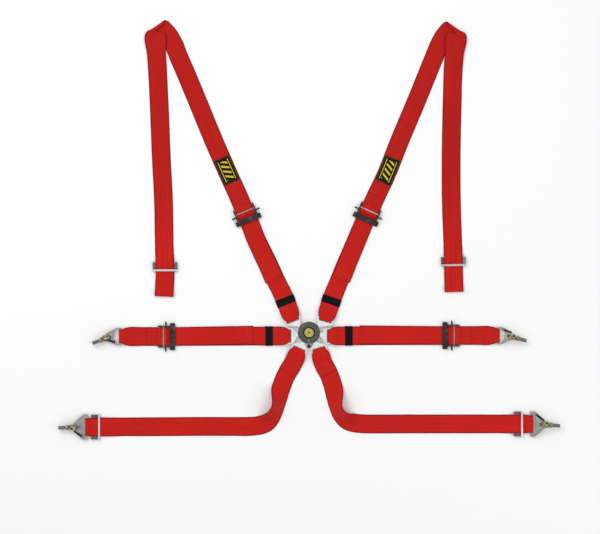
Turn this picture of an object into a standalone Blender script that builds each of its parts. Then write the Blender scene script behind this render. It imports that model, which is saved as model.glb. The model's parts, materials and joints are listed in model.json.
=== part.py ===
"""A six-point racing harness laid out flat: a rotary cam buckle, six tongues, webbing straps with
tilt-lock adjusters and three-bar slides, and snap hooks on eye bolts.

Metres, +Z up. The origin is the centre of the buckle's back face, on the surface that the harness
lies on. +Y points along the shoulder straps' side, and the left half has negative X.
"""

import math

import bmesh
import bpy
from mathutils import Matrix, Vector

MM = 0.001

# Webbing
WEB_WIDTH = 50 * MM
WEB_THICK = 1.4 * MM
GAP = 0.3 * MM  # air between two pieces that touch
WEB_Z = WEB_THICK / 2  # centre height of a strap lying on the surface
LAYER = WEB_THICK + GAP  # from one layer's centre to the next one's
WEB_SEAT = WEB_THICK / 2 + GAP  # from a bar's face to the centre of the webbing round it

# Buckle
PLATE_R = 28 * MM
PLATE_H = 3 * MM
HOUSING_R = 27.5 * MM
HOUSING_TOP = 14.4 * MM
CAVITY_R = 23.2 * MM
CAVITY_FLOOR = 10.9 * MM
DIAL_R = 29.5 * MM
DIAL_TOP = 24 * MM
DIAL_WEB = 17.5 * MM  # underside of the dial's floor
BOLT_R = 3 * MM
BOLT_FLANGE_R = 6 * MM
BADGE_R = 12.5 * MM
BADGE_RECESS_R = 15.5 * MM
BADGE_TOP = 24.8 * MM
LATCH_T = 1.4 * MM
LATCH_LIFT = 2.6 * MM
PIN_R = 2 * MM
PIN_RING_R = 20 * MM
SPRING_R = 5.6 * MM
SPRING_WIRE_R = 0.4 * MM
LEVER_REACH = 41 * MM
LEVER_TAB_R = 5.5 * MM
LEVER_STEM_W = 5 * MM
LEVER_T = 2.6 * MM

# Tongues
TONGUE_T = 2.5 * MM
TONGUE_Z = 7.75 * MM  # mid-height
NOSE_W = 11 * MM
NOSE_TIP = 15.6 * MM  # from the buckle's axis
NOSE_ROOT = 33 * MM
TONGUE_BAR = 7 * MM
TONGUE_SLOT = 5.2 * MM
TONGUE_WAIST = 35 * MM  # the webbing's width where it is drawn in by a tongue
TONGUE_RAIL = 2.5 * MM
SLOT_MARGIN = 0.6 * MM  # room at each edge of the webbing in a slot
PIN_CLEAR = 0.4 * MM  # radial room round a latch pin
LOOP_SETTLE = 42 * MM  # from a tongue's bar to where the webbing's two layers lie flat

# Rows of points along a flat stretch of webbing
FLAT_STEP = 45 * MM
LONG_STEP = 60 * MM

# Tilt-lock adjusters, along the strap from the sliding bar's axis
GRIP_R = 3.2 * MM
GRIP_PIN_R = 2 * MM
GRIP_PIN_REACH = 40 * MM
GRIP_TRAVEL = 3 * MM
LIP_NEAR = 11 * MM
LIP_FAR = 25 * MM
LIP_HALF_W = 36 * MM
FRAME_Z = 3.5 * MM
FRAME_T = 3.2 * MM
REAR_BAR = 5 * MM
REAR_BAR_AT = 13 * MM
CHEEK_END = 21 * MM
FLANGE_T = 3 * MM
FLANGE_Z = 0.6 * MM
FLANGE_TOP = 9.2 * MM
SEWN_END = 50 * MM

# Three-bar slides, along the strap from the front bar's axis
SLIDE_BAR_W = 5 * MM
SLIDE_UNDER_W = 4 * MM
SLIDE_BAR_PITCH = 10 * MM
SLIDE_HALF_W = 33 * MM
CHEEK_HALF_T = 3.4 * MM
SLIDE_UNDER_Z = 2 * MM
SLIDE_UNDER_T = 2.4 * MM
SLIDE_TOP_T = 3 * MM
SLIDE_TAIL = 36 * MM  # the loose end's reach under the strap
RAMP = 16 * MM  # where the strap starts to rise, before its loose end
END_LOOP_R = 3.5 * MM

# Keepers and labels
KEEPER_W = 20 * MM
KEEPER_T = 0.8 * MM
KEEPER_AT = 54.5 * MM
LABEL_LENGTH = 72 * MM
LABEL_WIDTH = 44 * MM
LABEL_T = 0.7 * MM

# Snap hooks, along the strap from the webbing bar's axis
HOOK_T = 2.6 * MM
HOOK_BAR = 6 * MM
HOOK_HOLE_R = 6.6 * MM
HOOK_RIM = 5.6 * MM
HOOK_MOUTH = 8 * MM
MOUTH_TURN = 66  # degrees from the hook's own direction
HOOK_LOOP_R = 4.4 * MM
LATCH_STRIP_T = 1.2 * MM
LATCH_STRIP_W = 7 * MM
RIVET_R = 1.8 * MM

# Eye bolts
EYE_R = 10.8 * MM
EYE_WIRE_R = 3.2 * MM
COLLAR_R = 7.6 * MM
COLLAR_FROM = 13.4 * MM
COLLAR_T = 4.6 * MM
SHANK_R = 5.2 * MM
SHANK_END = 40 * MM

LEFT, RIGHT = "left", "right"

# Where each strap meets its tongue, and the strap's route from there, all in plan
SHOULDER_SLOT = {LEFT: (-0.0435, 0.0330), RIGHT: (0.0435, 0.0330)}
SHOULDER_ROUTE = {
    LEFT: [(-0.068, 0.0975), (-0.089, 0.140), (-0.1135, 0.194), (-0.140, 0.247), (-0.1684, 0.3169)],
    RIGHT: [(0.060, 0.0865), (0.080, 0.136), (0.104, 0.194), (0.128, 0.249), (0.1586, 0.3188)],
}
SHOULDER_UPPER = {
    LEFT: [(-0.1684, 0.3169), (-0.208, 0.407), (-0.255, 0.514), (-0.299, 0.621), (-0.332, 0.700),
           (-0.3505, 0.743), (-0.3595, 0.767), (-0.3727, 0.790), (-0.3835, 0.8055)],
    RIGHT: [(0.1586, 0.3188), (0.200, 0.407), (0.243, 0.514), (0.288, 0.621), (0.320, 0.700),
            (0.3375, 0.743), (0.3480, 0.768), (0.3600, 0.790), (0.3700, 0.8025)],
}
SHOULDER_TOP = {LEFT: (-0.4065, 0.8160), RIGHT: (0.3895, 0.8120)}
TOP_APPROACH = {LEFT: 160, RIGHT: 20}  # heading of the strap as it reaches the fold, in degrees
TOP_CREASE = {LEFT: 35, RIGHT: 145}
TOP_FOLD_R = 2.2 * MM
SHOULDER_DOWN = {
    LEFT: [(-0.406, 0.728), (-0.4005, 0.621), (-0.394, 0.461), (-0.3885, 0.354), (-0.386, 0.220)],
    RIGHT: [(0.3865, 0.728), (0.3825, 0.621), (0.3795, 0.461), (0.380, 0.354), (0.3845, 0.220)],
}
SHOULDER_SLIDE = {LEFT: (-0.3840, 0.1660), RIGHT: (0.3855, 0.1800)}
SHOULDER_END = {LEFT: (-0.3870, 0.0960), RIGHT: (0.3870, 0.1080)}
TAIL_END = {LEFT: 0.118, RIGHT: 0.116}  # from the tongue's bar
LABEL_AT = {LEFT: (-0.2190, 0.4330), RIGHT: (0.2105, 0.4310)}

LAP_SLOT = {LEFT: (-0.0520, -0.0090), RIGHT: (0.0520, -0.0090)}
LAP_ADJUSTER = {LEFT: (-0.3820, -0.0107), RIGHT: (0.3810, -0.0080)}
LAP_HOOK = {LEFT: (-0.5025, -0.0105), RIGHT: (0.5040, -0.0080)}
LAP_TAIL_END = {LEFT: 0.096, RIGHT: 0.082}

CROTCH_SLOT = {LEFT: (-0.0265, -0.0445), RIGHT: (0.0265, -0.0445)}
CROTCH_ROUTE = {
    LEFT: [(-0.0455, -0.0876), (-0.0590, -0.1095), (-0.0726, -0.1418), (-0.0823, -0.1721),
           (-0.0910, -0.1985), (-0.1006, -0.2233), (-0.1125, -0.2395), (-0.1290, -0.2470),
           (-0.1608, -0.2503), (-0.230, -0.2505)],
    RIGHT: [(0.0405, -0.0876), (0.0525, -0.1095), (0.0640, -0.1418), (0.0715, -0.1721),
            (0.0795, -0.1985), (0.0900, -0.2215), (0.1030, -0.2350), (0.1200, -0.2410),
            (0.150, -0.2440), (0.220, -0.2440)],
}
CROTCH_SLIDE = {LEFT: (-0.5600, -0.2520), RIGHT: (0.5680, -0.2440)}
CROTCH_HOOK = {LEFT: (-0.5925, -0.2520), RIGHT: (0.5935, -0.2440)}
CROTCH_SLIDE_WAY = {LEFT: 1, RIGHT: -1}  # 1 puts the slide's front bar towards the buckle
CROTCH_SEWN_END = 0.070
CROTCH_BANK = 46  # degrees that the strap stands up in its bend
BANK_FROM = 0.100  # along the route, where the strap starts to stand up
BANK_LENGTH = 0.135

# Each eye's lean out of the surface and each bolt's turn in plan, in degrees
EYE_LEAN = {"lap_left": 54, "lap_right": 64, "crotch_left": 58, "crotch_right": 62}
EYE_TURN = {"lap_left": 21, "lap_right": -16, "crotch_left": 2, "crotch_right": -5}


# Scene and materials


def fresh_collection(name):
    collection = bpy.data.collections.new(name)
    bpy.context.scene.collection.children.link(collection)
    return collection


for old in list(bpy.data.objects):
    bpy.data.objects.remove(old, do_unlink=True)

HARNESS = fresh_collection("racing_harness")
CUTTERS = fresh_collection("cutters")


def finish_material(name, colour, roughness, metallic):
    material = bpy.data.materials.new(name)
    material.use_nodes = True
    shader = material.node_tree.nodes["Principled BSDF"]
    shader.inputs["Base Color"].default_value = (*colour, 1)
    shader.inputs["Roughness"].default_value = roughness
    shader.inputs["Metallic"].default_value = metallic
    return material


WEBBING_RED = finish_material("webbing_red", (0.56, 0.012, 0.010), 0.75, 0)
ELASTIC_BLACK = finish_material("elastic_black", (0.015, 0.014, 0.014), 0.9, 0)
LABEL_CLOTH = finish_material("label_cloth", (0.02, 0.018, 0.016), 0.85, 0)
BLACK_STEEL = finish_material("black_steel", (0.05, 0.045, 0.042), 0.4, 0.8)
CHROME = finish_material("chrome", (0.78, 0.79, 0.80), 0.18, 1)
ZINC_STEEL = finish_material("zinc_steel", (0.52, 0.53, 0.50), 0.42, 1)
BOLT_GOLD = finish_material("bolt_gold", (0.36, 0.30, 0.16), 0.35, 1)
BUCKLE_DARK = finish_material("buckle_dark", (0.07, 0.072, 0.066), 0.35, 0.7)
BADGE_YELLOW = finish_material("badge_yellow", (0.72, 0.55, 0.06), 0.4, 0.2)


# Shape helpers


def put(obj, material=None, matrix=None):
    """Keeps the object as a part of the harness, or as a cutter if it has no material."""
    for collection in list(obj.users_collection):
        collection.objects.unlink(obj)
    (HARNESS if material else CUTTERS).objects.link(obj)
    if matrix is not None:
        obj.matrix_world = matrix
    if material:
        obj.data.materials.append(material)
    else:
        obj.hide_render = True
        obj.display_type = "WIRE"
    return obj


def from_bmesh(name, bm, material=None, matrix=None):
    mesh = bpy.data.meshes.new(name)
    bm.to_mesh(mesh)
    bm.free()
    return put(bpy.data.objects.new(name, mesh), material, matrix)


def add_box(bm, low, high):
    low, high = Vector(low), Vector(high)
    size = Matrix.Diagonal((*(high - low), 1))
    bmesh.ops.create_cube(bm, size=1, matrix=Matrix.Translation((low + high) / 2) @ size)


def boxes(name, corners, material=None, matrix=None):
    bm = bmesh.new()
    for low, high in corners:
        add_box(bm, low, high)
    return from_bmesh(name, bm, material, matrix)


def rods(name, ends, radius, sides, material=None, matrix=None):
    """Round bars between pairs of points."""
    bm = bmesh.new()
    for start, end in ends:
        start, end = Vector(start), Vector(end)
        turn = (end - start).to_track_quat("Z", "Y").to_matrix().to_4x4()
        bmesh.ops.create_cone(
            bm, cap_ends=True, segments=sides, radius1=radius, radius2=radius,
            depth=(end - start).length, matrix=Matrix.Translation((start + end) / 2) @ turn,
        )
    return from_bmesh(name, bm, material, matrix)


def smooth_shading(obj, angle=35):
    obj.data.shade_smooth()
    obj.data.set_sharp_from_angle(angle=math.radians(angle))
    return obj


def turned(name, profile, steps, material=None, matrix=None):
    """A closed profile of (radius, height), outer side running down, turned about Z."""
    mesh = bpy.data.meshes.new(name)
    edges = [(i, (i + 1) % len(profile)) for i in range(len(profile))]
    if profile[0][0] == 0:
        edges.pop()
    mesh.from_pydata([(r, 0, z) for r, z in profile], edges, [])
    obj = put(bpy.data.objects.new(name, mesh), material, matrix)
    screw = obj.modifiers.new("turn", "SCREW")
    screw.steps = screw.render_steps = steps
    screw.use_merge_vertices = True
    screw.merge_threshold = 1e-6
    screw.use_smooth_shade = False
    return obj


def rounded(corners, radius, segments=4):
    """The polygon's corners replaced by arcs; radius is one value or one per corner."""
    radii = radius if isinstance(radius, (list, tuple)) else [radius] * len(corners)
    points = []
    for i, corner in enumerate(corners):
        corner = Vector(corner)
        before = (Vector(corners[i - 1]) - corner).normalized()
        after = (Vector(corners[(i + 1) % len(corners)]) - corner).normalized()
        half = before.angle(after) / 2
        if radii[i] == 0 or half > 1.56:
            points.append(corner)
            continue
        reach = radii[i] / math.tan(half)
        centre = corner + (before + after).normalized() * (radii[i] / math.sin(half))
        start, end = corner + before * reach - centre, corner + after * reach - centre
        sweep = start.angle_signed(end)
        for k in range(segments + 1):
            points.append(centre + Matrix.Rotation(-sweep * k / segments, 2) @ start)
    return points


def circle(centre, radius, sides):
    turn = 2 * math.pi / sides
    return [(centre[0] + radius * math.cos(turn * k), centre[1] + radius * math.sin(turn * k))
            for k in range(sides)]


def plate(name, loops, thickness, material=None, matrix=None):
    """A flat outline with holes, as a mesh, centred on its own XY plane."""
    curve = bpy.data.curves.new(name, "CURVE")
    curve.dimensions = "2D"
    curve.fill_mode = "BOTH"
    curve.extrude = thickness / 2
    for loop in loops:
        spline = curve.splines.new("POLY")
        spline.points.add(len(loop) - 1)
        for point, at in zip(spline.points, loop):
            point.co = (at[0], at[1], 0, 1)
        spline.use_cyclic_u = True
    flat = bpy.data.objects.new(name + "_outline", curve)
    bpy.context.scene.collection.objects.link(flat)
    bpy.context.view_layer.update()
    graph = bpy.context.evaluated_depsgraph_get()
    mesh = bpy.data.meshes.new_from_object(flat.evaluated_get(graph))
    bpy.data.objects.remove(flat, do_unlink=True)
    bm = bmesh.new()
    bm.from_mesh(mesh)
    bmesh.ops.remove_doubles(bm, verts=bm.verts, dist=1e-7)
    bmesh.ops.recalc_face_normals(bm, faces=bm.faces)
    bpy.data.meshes.remove(mesh)
    return from_bmesh(name, bm, material, matrix)


def boolean(obj, other, operation):
    modifier = obj.modifiers.new(operation.lower(), "BOOLEAN")
    modifier.operation = operation
    modifier.object = other
    modifier.solver = "EXACT"
    return obj


def placed(at, heading, height=0):
    """A matrix at a plan position, with +X turned to a heading in radians."""
    return Matrix.Translation((at[0], at[1], height)) @ Matrix.Rotation(heading, 4, "Z")


# Webbing helpers


class Route:
    """A smooth line in plan through a few points, read by the distance along it."""

    def __init__(self, knots, spacing=4 * MM):
        knots = [Vector(k) for k in knots]
        steps = [q - p for p, q in zip(knots, knots[1:])]
        slopes = [steps[0].normalized()]
        for before, after in zip(steps, steps[1:]):
            near, far = before.length, after.length
            slopes.append((before / near * far + after / far * near) / (near + far))
        slopes.append(steps[-1].normalized())
        self.points = []
        for start, step, slope, next_slope in zip(knots, steps, slopes, slopes[1:]):
            count = max(2, round(step.length / spacing))
            for k in range(count):
                t = k / count
                self.points.append(
                    start + step * (t * t * (3 - 2 * t))
                    + (slope * (t * (1 - t) ** 2) - next_slope * (t * t * (1 - t))) * step.length
                )
        self.points.append(knots[-1])
        self.marks = [0.0]
        for p, q in zip(self.points, self.points[1:]):
            self.marks.append(self.marks[-1] + (q - p).length)
        self.length = self.marks[-1]

    def at(self, s):
        i = 0
        while i < len(self.marks) - 2 and self.marks[i + 1] < s:
            i += 1
        step = self.points[i + 1] - self.points[i]
        return self.points[i] + step * ((s - self.marks[i]) / step.length)

    def heading(self, s):
        reach = 5 * MM
        low, high = max(s - reach, 0), min(s + reach, self.length)
        return (self.at(high) - self.at(low)).normalized()

    def angle(self, s):
        return math.atan2(*reversed(self.heading(s)))

    def nearest(self, point):
        point = Vector(point)
        best = min(range(len(self.points)), key=lambda i: (self.points[i] - point).length)
        return self.marks[best]


def pair(route, s, z, width=WEB_WIDTH, bank=0):
    """The strap's two edges at a distance along its route; bank lifts its left edge, or its right
    edge if it is negative, about the other one."""
    at, ahead = route.at(s), route.heading(s)
    side = Vector((-ahead.y, ahead.x, 0))
    low_side = side if bank < 0 else -side
    low = Vector((at.x, at.y, z)) + low_side * (width / 2)
    lean = math.radians(abs(bank))
    high = low - low_side * (width * math.cos(lean)) + Vector((0, 0, width * math.sin(lean)))
    return (low, high) if bank < 0 else (high, low)


def half_turn(centre_s, centre_z, radius, inward, downward, steps=6):
    """(s, z) points of a fold round a bar; inward folds towards smaller s."""
    way = -1 if inward else 1
    points = []
    for k in range(steps + 1):
        angle = math.pi * k / steps
        lift = radius * math.cos(angle)
        points.append((centre_s + way * radius * math.sin(angle), centre_z + (lift if downward else -lift)))
    return points


def strap(name, pairs, material=WEBBING_RED, thickness=WEB_THICK):
    """A ribbon through pairs of edge points, thickened evenly about them."""
    bm = bmesh.new()
    rows = [[bm.verts.new(p) for p in edges] for edges in pairs]
    for (a, b), (c, d) in zip(rows, rows[1:]):
        bm.faces.new((a, b, d, c))
    obj = from_bmesh(name, bm, material)
    solid = obj.modifiers.new("thickness", "SOLIDIFY")
    solid.thickness = thickness
    solid.offset = 0
    solid.use_even_offset = True
    return obj


def narrowed(s, start, end, waist):
    """The strap's width where its corners draw in between start and end."""
    share = min(max((s - start) / (end - start), 0), 1)
    return WEB_WIDTH - (WEB_WIDTH - waist) * math.sin(share * math.pi / 2) ** 2


def spread(start, end, pitch):
    """Distances from start to end, about a pitch apart, both ends included."""
    count = max(1, round(abs(end - start) / pitch))
    return [start + (end - start) * k / count for k in range(count + 1)]


# Buckle


def build_buckle(nose_angles):
    turned("back_plate",
           [(0, PLATE_H), (PLATE_R - MM, PLATE_H), (PLATE_R, PLATE_H - MM), (PLATE_R, 0), (0, 0)],
           32, ZINC_STEEL)
    bore = BOLT_R + GAP
    floor = PLATE_H + GAP
    housing = turned("buckle_housing",
                     [(bore, CAVITY_FLOOR), (CAVITY_R, CAVITY_FLOOR), (CAVITY_R, HOUSING_TOP),
                      (HOUSING_R - MM, HOUSING_TOP), (HOUSING_R, HOUSING_TOP - MM),
                      (HOUSING_R, floor), (bore, floor)],
                     32, CHROME)
    pocket = bmesh.new()
    pins = []
    half_w, half_t = NOSE_W / 2 + GAP, TONGUE_T / 2 + GAP
    for angle in nose_angles:
        turn = Matrix.Rotation(angle, 4, "Z")
        one = bmesh.new()
        add_box(one, (NOSE_TIP - GAP, -half_w, TONGUE_Z - half_t),
                (HOUSING_R + 5 * MM, half_w, TONGUE_Z + half_t))
        one.transform(turn)
        mesh = bpy.data.meshes.new("pocket")
        one.to_mesh(mesh)
        one.free()
        pocket.from_mesh(mesh)
        bpy.data.meshes.remove(mesh)
        pins.append(turn @ Vector((PIN_RING_R, 0, 0)))
    boolean(housing, from_bmesh("pocket_cutter", pocket), "DIFFERENCE")
    hole_r = PIN_R + PIN_CLEAR
    holes = [(p + Vector((0, 0, TONGUE_Z)), p + Vector((0, 0, CAVITY_FLOOR + MM))) for p in pins]
    boolean(housing, rods("pin_hole_cutter", holes, hole_r, 10), "DIFFERENCE")

    web_top = DIAL_WEB + 1.2 * MM
    recess = BADGE_TOP - 2.8 * MM
    turned("release_dial",
           [(bore, web_top), (BOLT_FLANGE_R + 2 * GAP, web_top), (BOLT_FLANGE_R + 2 * GAP, recess),
            (BADGE_RECESS_R, recess), (BADGE_RECESS_R, DIAL_TOP - 0.6 * MM),
            (BADGE_RECESS_R + 0.6 * MM, DIAL_TOP), (DIAL_R - 4 * MM, DIAL_TOP),
            (DIAL_R - MM, DIAL_TOP - 1.6 * MM), (DIAL_R, DIAL_TOP - 3.4 * MM),
            (DIAL_R, HOUSING_TOP + GAP), (CAVITY_R + MM, HOUSING_TOP + GAP),
            (CAVITY_R + MM, DIAL_WEB), (bore, DIAL_WEB)],
           32, BUCKLE_DARK)
    turned("centre_bolt",
           [(0, web_top + GAP + 2 * MM), (BOLT_FLANGE_R, web_top + GAP + 2 * MM),
            (BOLT_FLANGE_R, web_top + GAP), (BOLT_R, web_top + GAP), (BOLT_R, floor), (0, floor)],
           16, ZINC_STEEL)
    turned("centre_badge",
           [(0, BADGE_TOP), (BADGE_R - 3 * MM, BADGE_TOP), (BADGE_R - 0.8 * MM, BADGE_TOP - 0.5 * MM),
            (BADGE_R, BADGE_TOP - 1.2 * MM), (BADGE_R, recess + GAP), (0, recess + GAP)],
           32, BADGE_YELLOW)

    # The latch plate is drawn lifted clear of the tongues; it drops by LATCH_LIFT to lock them.
    low = CAVITY_FLOOR + 0.2 * MM + LATCH_LIFT
    latch = turned("latch_plate",
                   [(BOLT_R + GAP, low + LATCH_T), (CAVITY_R - 2 * GAP, low + LATCH_T),
                    (CAVITY_R - 2 * GAP, low), (BOLT_R + GAP, low)],
                   32, ZINC_STEEL)
    pin_end = TONGUE_Z - TONGUE_T / 2 + 0.7 * MM + LATCH_LIFT
    ends = [(p + Vector((0, 0, pin_end)), p + Vector((0, 0, low + LATCH_T / 2))) for p in pins]
    boolean(latch, rods("latch_pins", ends, PIN_R, 10), "UNION")

    curve = bpy.data.curves.new("latch_spring", "CURVE")
    curve.dimensions = "3D"
    curve.bevel_depth = SPRING_WIRE_R - 0.1 * MM
    curve.bevel_resolution = 1
    curve.use_fill_caps = True
    first = low + LATCH_T + GAP + SPRING_WIRE_R
    last = DIAL_WEB - GAP - SPRING_WIRE_R
    turns, sides = 1.5, 12
    count = round(turns * sides)
    spline = curve.splines.new("POLY")
    spline.points.add(count)
    for k, point in enumerate(spline.points):
        angle = 2 * math.pi * k / sides
        point.co = (SPRING_R * math.cos(angle), SPRING_R * math.sin(angle),
                    first + (last - first) * k / count, 1)
    put(bpy.data.objects.new("latch_spring", curve), ZINC_STEEL)

    tab_y = -(LEVER_REACH - LEVER_TAB_R)
    meet = math.asin(LEVER_STEM_W / 2 / LEVER_TAB_R)
    arc = [math.pi / 2 - meet - (2 * math.pi - 2 * meet) * k / 14 for k in range(15)]
    outline = [(-LEVER_STEM_W / 2, -BADGE_RECESS_R - MM), (LEVER_STEM_W / 2, -BADGE_RECESS_R - MM)]
    outline += [(LEVER_TAB_R * math.cos(a), tab_y + LEVER_TAB_R * math.sin(a)) for a in arc]
    plate("release_lever", [outline], LEVER_T, BUCKLE_DARK,
          Matrix.Translation((0, 0, DIAL_TOP + GAP + LEVER_T / 2)))


def build_tongue(name, slot, heading):
    """A plate with a nose into the buckle and a slot for the webbing, +X along the strap."""
    matrix = placed(slot, heading, TONGUE_Z)
    buckle = (matrix.inverted() @ Vector((0, 0, TONGUE_Z))).to_2d()
    ahead = -buckle.normalized()
    side = Vector((-ahead.y, ahead.x)) * (NOSE_W / 2)
    root, tip = buckle + ahead * NOSE_ROOT, buckle + ahead * NOSE_TIP
    slot_half = TONGUE_WAIST / 2 + SLOT_MARGIN
    wide = slot_half + TONGUE_RAIL
    near = -TONGUE_SLOT - TONGUE_RAIL
    outline = rounded(
        [(TONGUE_BAR, -wide), (TONGUE_BAR, wide), (near, wide), root + side, tip + side,
         tip - side, root - side, (near, -wide)],
        [2.5 * MM, 2.5 * MM, 3.5 * MM, 0, 2 * MM, 2 * MM, 0, 3.5 * MM],
    )
    slot_hole = [(-TONGUE_SLOT, -slot_half), (-TONGUE_SLOT, slot_half), (0, slot_half), (0, -slot_half)]
    pin_hole = circle(buckle + ahead * PIN_RING_R, PIN_R + PIN_CLEAR, 12)
    plate(name, [outline, slot_hole, pin_hole], TONGUE_T, CHROME, matrix)


# Straps on a tongue


def tongue_loop(reach, upper, lower):
    """(s, z, width) from the short sewn end, round the tongue's bar, to the strap's own run.

    reach is where the sewn end stops, and upper and lower are the two layers' heights there."""
    radius = TONGUE_T / 2 + WEB_SEAT
    clear = TONGUE_BAR + 2 * MM
    points = [(reach, lower), (LOOP_SETTLE, lower), (clear, TONGUE_Z - radius - GAP)]
    points += half_turn(0, TONGUE_Z, radius, True, False)
    points += [(clear, TONGUE_Z + radius), (LOOP_SETTLE, upper), (reach, upper)]
    return [(s, z, narrowed(-s, -16 * MM, 0, TONGUE_WAIST)) for s, z in points]


def keeper_heights():
    lower = KEEPER_T + GAP + WEB_Z
    return lower + LAYER, lower


def front_strap(name, route, grip_s, tail_end):
    """From the tongue to the adjuster, round its sliding bar and back as the loose tail."""
    upper, lower = keeper_heights()
    reach = KEEPER_AT + KEEPER_W / 2 + 8 * MM
    points = tongue_loop(reach, upper, lower)
    points.append((reach + 24 * MM, WEB_Z, WEB_WIDTH))
    settled = grip_s - LIP_FAR - 5 * MM
    for s in spread(reach + 44 * MM, settled, FLAT_STEP):
        points.append((s, WEB_Z, WEB_WIDTH))
    radius = GRIP_R + WEB_SEAT
    centre = WEB_Z + radius
    points += [(s, z, WEB_WIDTH) for s, z in half_turn(grip_s, centre, radius, False, False)]
    for angle in (30, 60, 90):
        a = math.radians(angle)
        points.append((grip_s - radius * math.sin(a), centre + radius * math.cos(a), WEB_WIDTH))
    points.append((grip_s - radius - 4.3 * MM, WEB_Z + LAYER, WEB_WIDTH))
    for s in spread(settled, tail_end, FLAT_STEP):
        points.append((s, WEB_Z + LAYER, WEB_WIDTH))
    strap(name, [pair(route, s, z, width) for s, z, width in points])


def rear_loop():
    """(distance from the grip, z) of the sewn end round the frame's rear bar."""
    radius = math.hypot(REAR_BAR / 2, FRAME_T / 2) + WEB_SEAT
    centre = FRAME_Z + FRAME_T / 2
    points = [(SEWN_END, WEB_Z + LAYER), (REAR_BAR_AT + 14 * MM, WEB_Z + LAYER),
              (REAR_BAR_AT + 3 * MM, centre + radius)]
    points += half_turn(REAR_BAR_AT, centre, radius, True, True)
    points += [(REAR_BAR_AT + 3 * MM, centre - radius), (REAR_BAR_AT + 12 * MM, WEB_Z)]
    return points


def build_keeper(name, route):
    upper, _ = keeper_heights()
    half = WEB_WIDTH / 2 + 0.4 * MM
    top = upper + WEB_Z + GAP
    outer = rounded([(-half - KEEPER_T, 0), (half + KEEPER_T, 0),
                     (half + KEEPER_T, top + KEEPER_T), (-half - KEEPER_T, top + KEEPER_T)], MM, 2)
    inner = [(-half, KEEPER_T), (half, KEEPER_T), (half, top), (-half, top)]
    stand = Matrix(((0, 0, 1, 0), (1, 0, 0, 0), (0, 1, 0, 0), (0, 0, 0, 1)))
    matrix = placed(route.at(KEEPER_AT), route.angle(KEEPER_AT)) @ stand
    plate(name, [outer, inner], KEEPER_W, ELASTIC_BLACK, matrix)


# Adjusters


def build_adjuster(place, at, heading):
    """The frame, with its lip over the strap, and the sliding grip bar in its flanges."""
    matrix = placed(at, heading)
    inner = WEB_WIDTH / 2 + 1.3 * MM
    rail = inner + FLANGE_T
    back = REAR_BAR_AT + REAR_BAR / 2
    notch = inner - 0.3 * MM
    outline = rounded(
        [(-LIP_FAR, -LIP_HALF_W), (-LIP_NEAR, -LIP_HALF_W), (-LIP_NEAR, -rail), (CHEEK_END, -rail),
         (CHEEK_END, -notch), (back, -notch), (back, notch), (CHEEK_END, notch),
         (CHEEK_END, rail), (-LIP_NEAR, rail), (-LIP_NEAR, LIP_HALF_W), (-LIP_FAR, LIP_HALF_W)],
        [2 * MM, 2 * MM, 0, 1.2 * MM, 1.2 * MM, 0, 0, 1.2 * MM, 1.2 * MM, 0, 2 * MM, 2 * MM], 3)
    near, far = -LIP_NEAR, back - REAR_BAR
    window = [(near, -inner), (near, inner), (far, inner), (far, -inner)]
    frame = plate("adjuster_frame_" + place, [outline, window], FRAME_T, BLACK_STEEL,
                  matrix @ Matrix.Translation((0, 0, FRAME_Z + FRAME_T / 2)))
    sides = boxes("flanges_" + place,
                  [((near + MM, way * (inner + rail) / 2 - FLANGE_T / 2 + 0.15 * MM, FLANGE_Z),
                    (far, way * (inner + rail) / 2 + FLANGE_T / 2 - 0.15 * MM, FLANGE_TOP))
                   for way in (-1, 1)], None, matrix)
    boolean(frame, sides, "UNION")
    grip_z = WEB_Z + GRIP_R + WEB_SEAT
    reach = GRIP_TRAVEL + GRIP_PIN_R + GAP
    high = GRIP_PIN_R + GAP
    slots = boxes("grip_slots_" + place,
                  [((-reach, way * (inner + rail) / 2 - FLANGE_T, grip_z - high),
                    (reach, way * (inner + rail) / 2 + FLANGE_T, grip_z + high)) for way in (-1, 1)],
                  None, matrix)
    boolean(frame, slots, "DIFFERENCE")
    half = WEB_WIDTH / 2 + 0.8 * MM
    turned("adjuster_grip_" + place,
           [(0, GRIP_PIN_REACH), (GRIP_PIN_R - 0.5 * MM, GRIP_PIN_REACH),
            (GRIP_PIN_R, GRIP_PIN_REACH - 0.5 * MM), (GRIP_PIN_R, half), (GRIP_R, half),
            (GRIP_R, -half), (GRIP_PIN_R, -half), (GRIP_PIN_R, 0.5 * MM - GRIP_PIN_REACH),
            (GRIP_PIN_R - 0.5 * MM, -GRIP_PIN_REACH), (0, -GRIP_PIN_REACH)],
           12, BLACK_STEEL,
           matrix @ Matrix.Translation((0, 0, grip_z)) @ Matrix.Rotation(math.pi / 2, 4, "X"))


def build_slide(name, at, heading):
    """A three-bar slide: +X from its front bar, over the strap, to the two bars under it."""
    matrix = placed(at, heading)
    over = SLIDE_UNDER_Z + SLIDE_UNDER_T
    top = over + SLIDE_TOP_T
    middle = (WEB_WIDTH / 2 + 0.8 * MM + SLIDE_HALF_W) / 2
    under = SLIDE_UNDER_W / 2
    end = 2 * SLIDE_BAR_PITCH + under
    half = SLIDE_BAR_W / 2
    slide = boxes(name, [((-half, -SLIDE_HALF_W, over), (half, SLIDE_HALF_W, top))], CHROME, matrix)
    cheeks = boxes(name + "_cheeks",
                   [((-half - 0.2 * MM, way * middle - CHEEK_HALF_T, SLIDE_UNDER_Z),
                     (end, way * middle + CHEEK_HALF_T, top - 0.2 * MM))
                    for way in (-1, 1)], None, matrix)
    bars = boxes(name + "_bars",
                 [((SLIDE_BAR_PITCH * k - under, -SLIDE_HALF_W + 2 * MM, SLIDE_UNDER_Z + 0.1 * MM),
                   (SLIDE_BAR_PITCH * k + under - 0.1 * MM, SLIDE_HALF_W - 2 * MM, over))
                  for k in (1, 2)], None, matrix)
    boolean(slide, cheeks, "UNION")
    boolean(slide, bars, "UNION")


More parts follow.
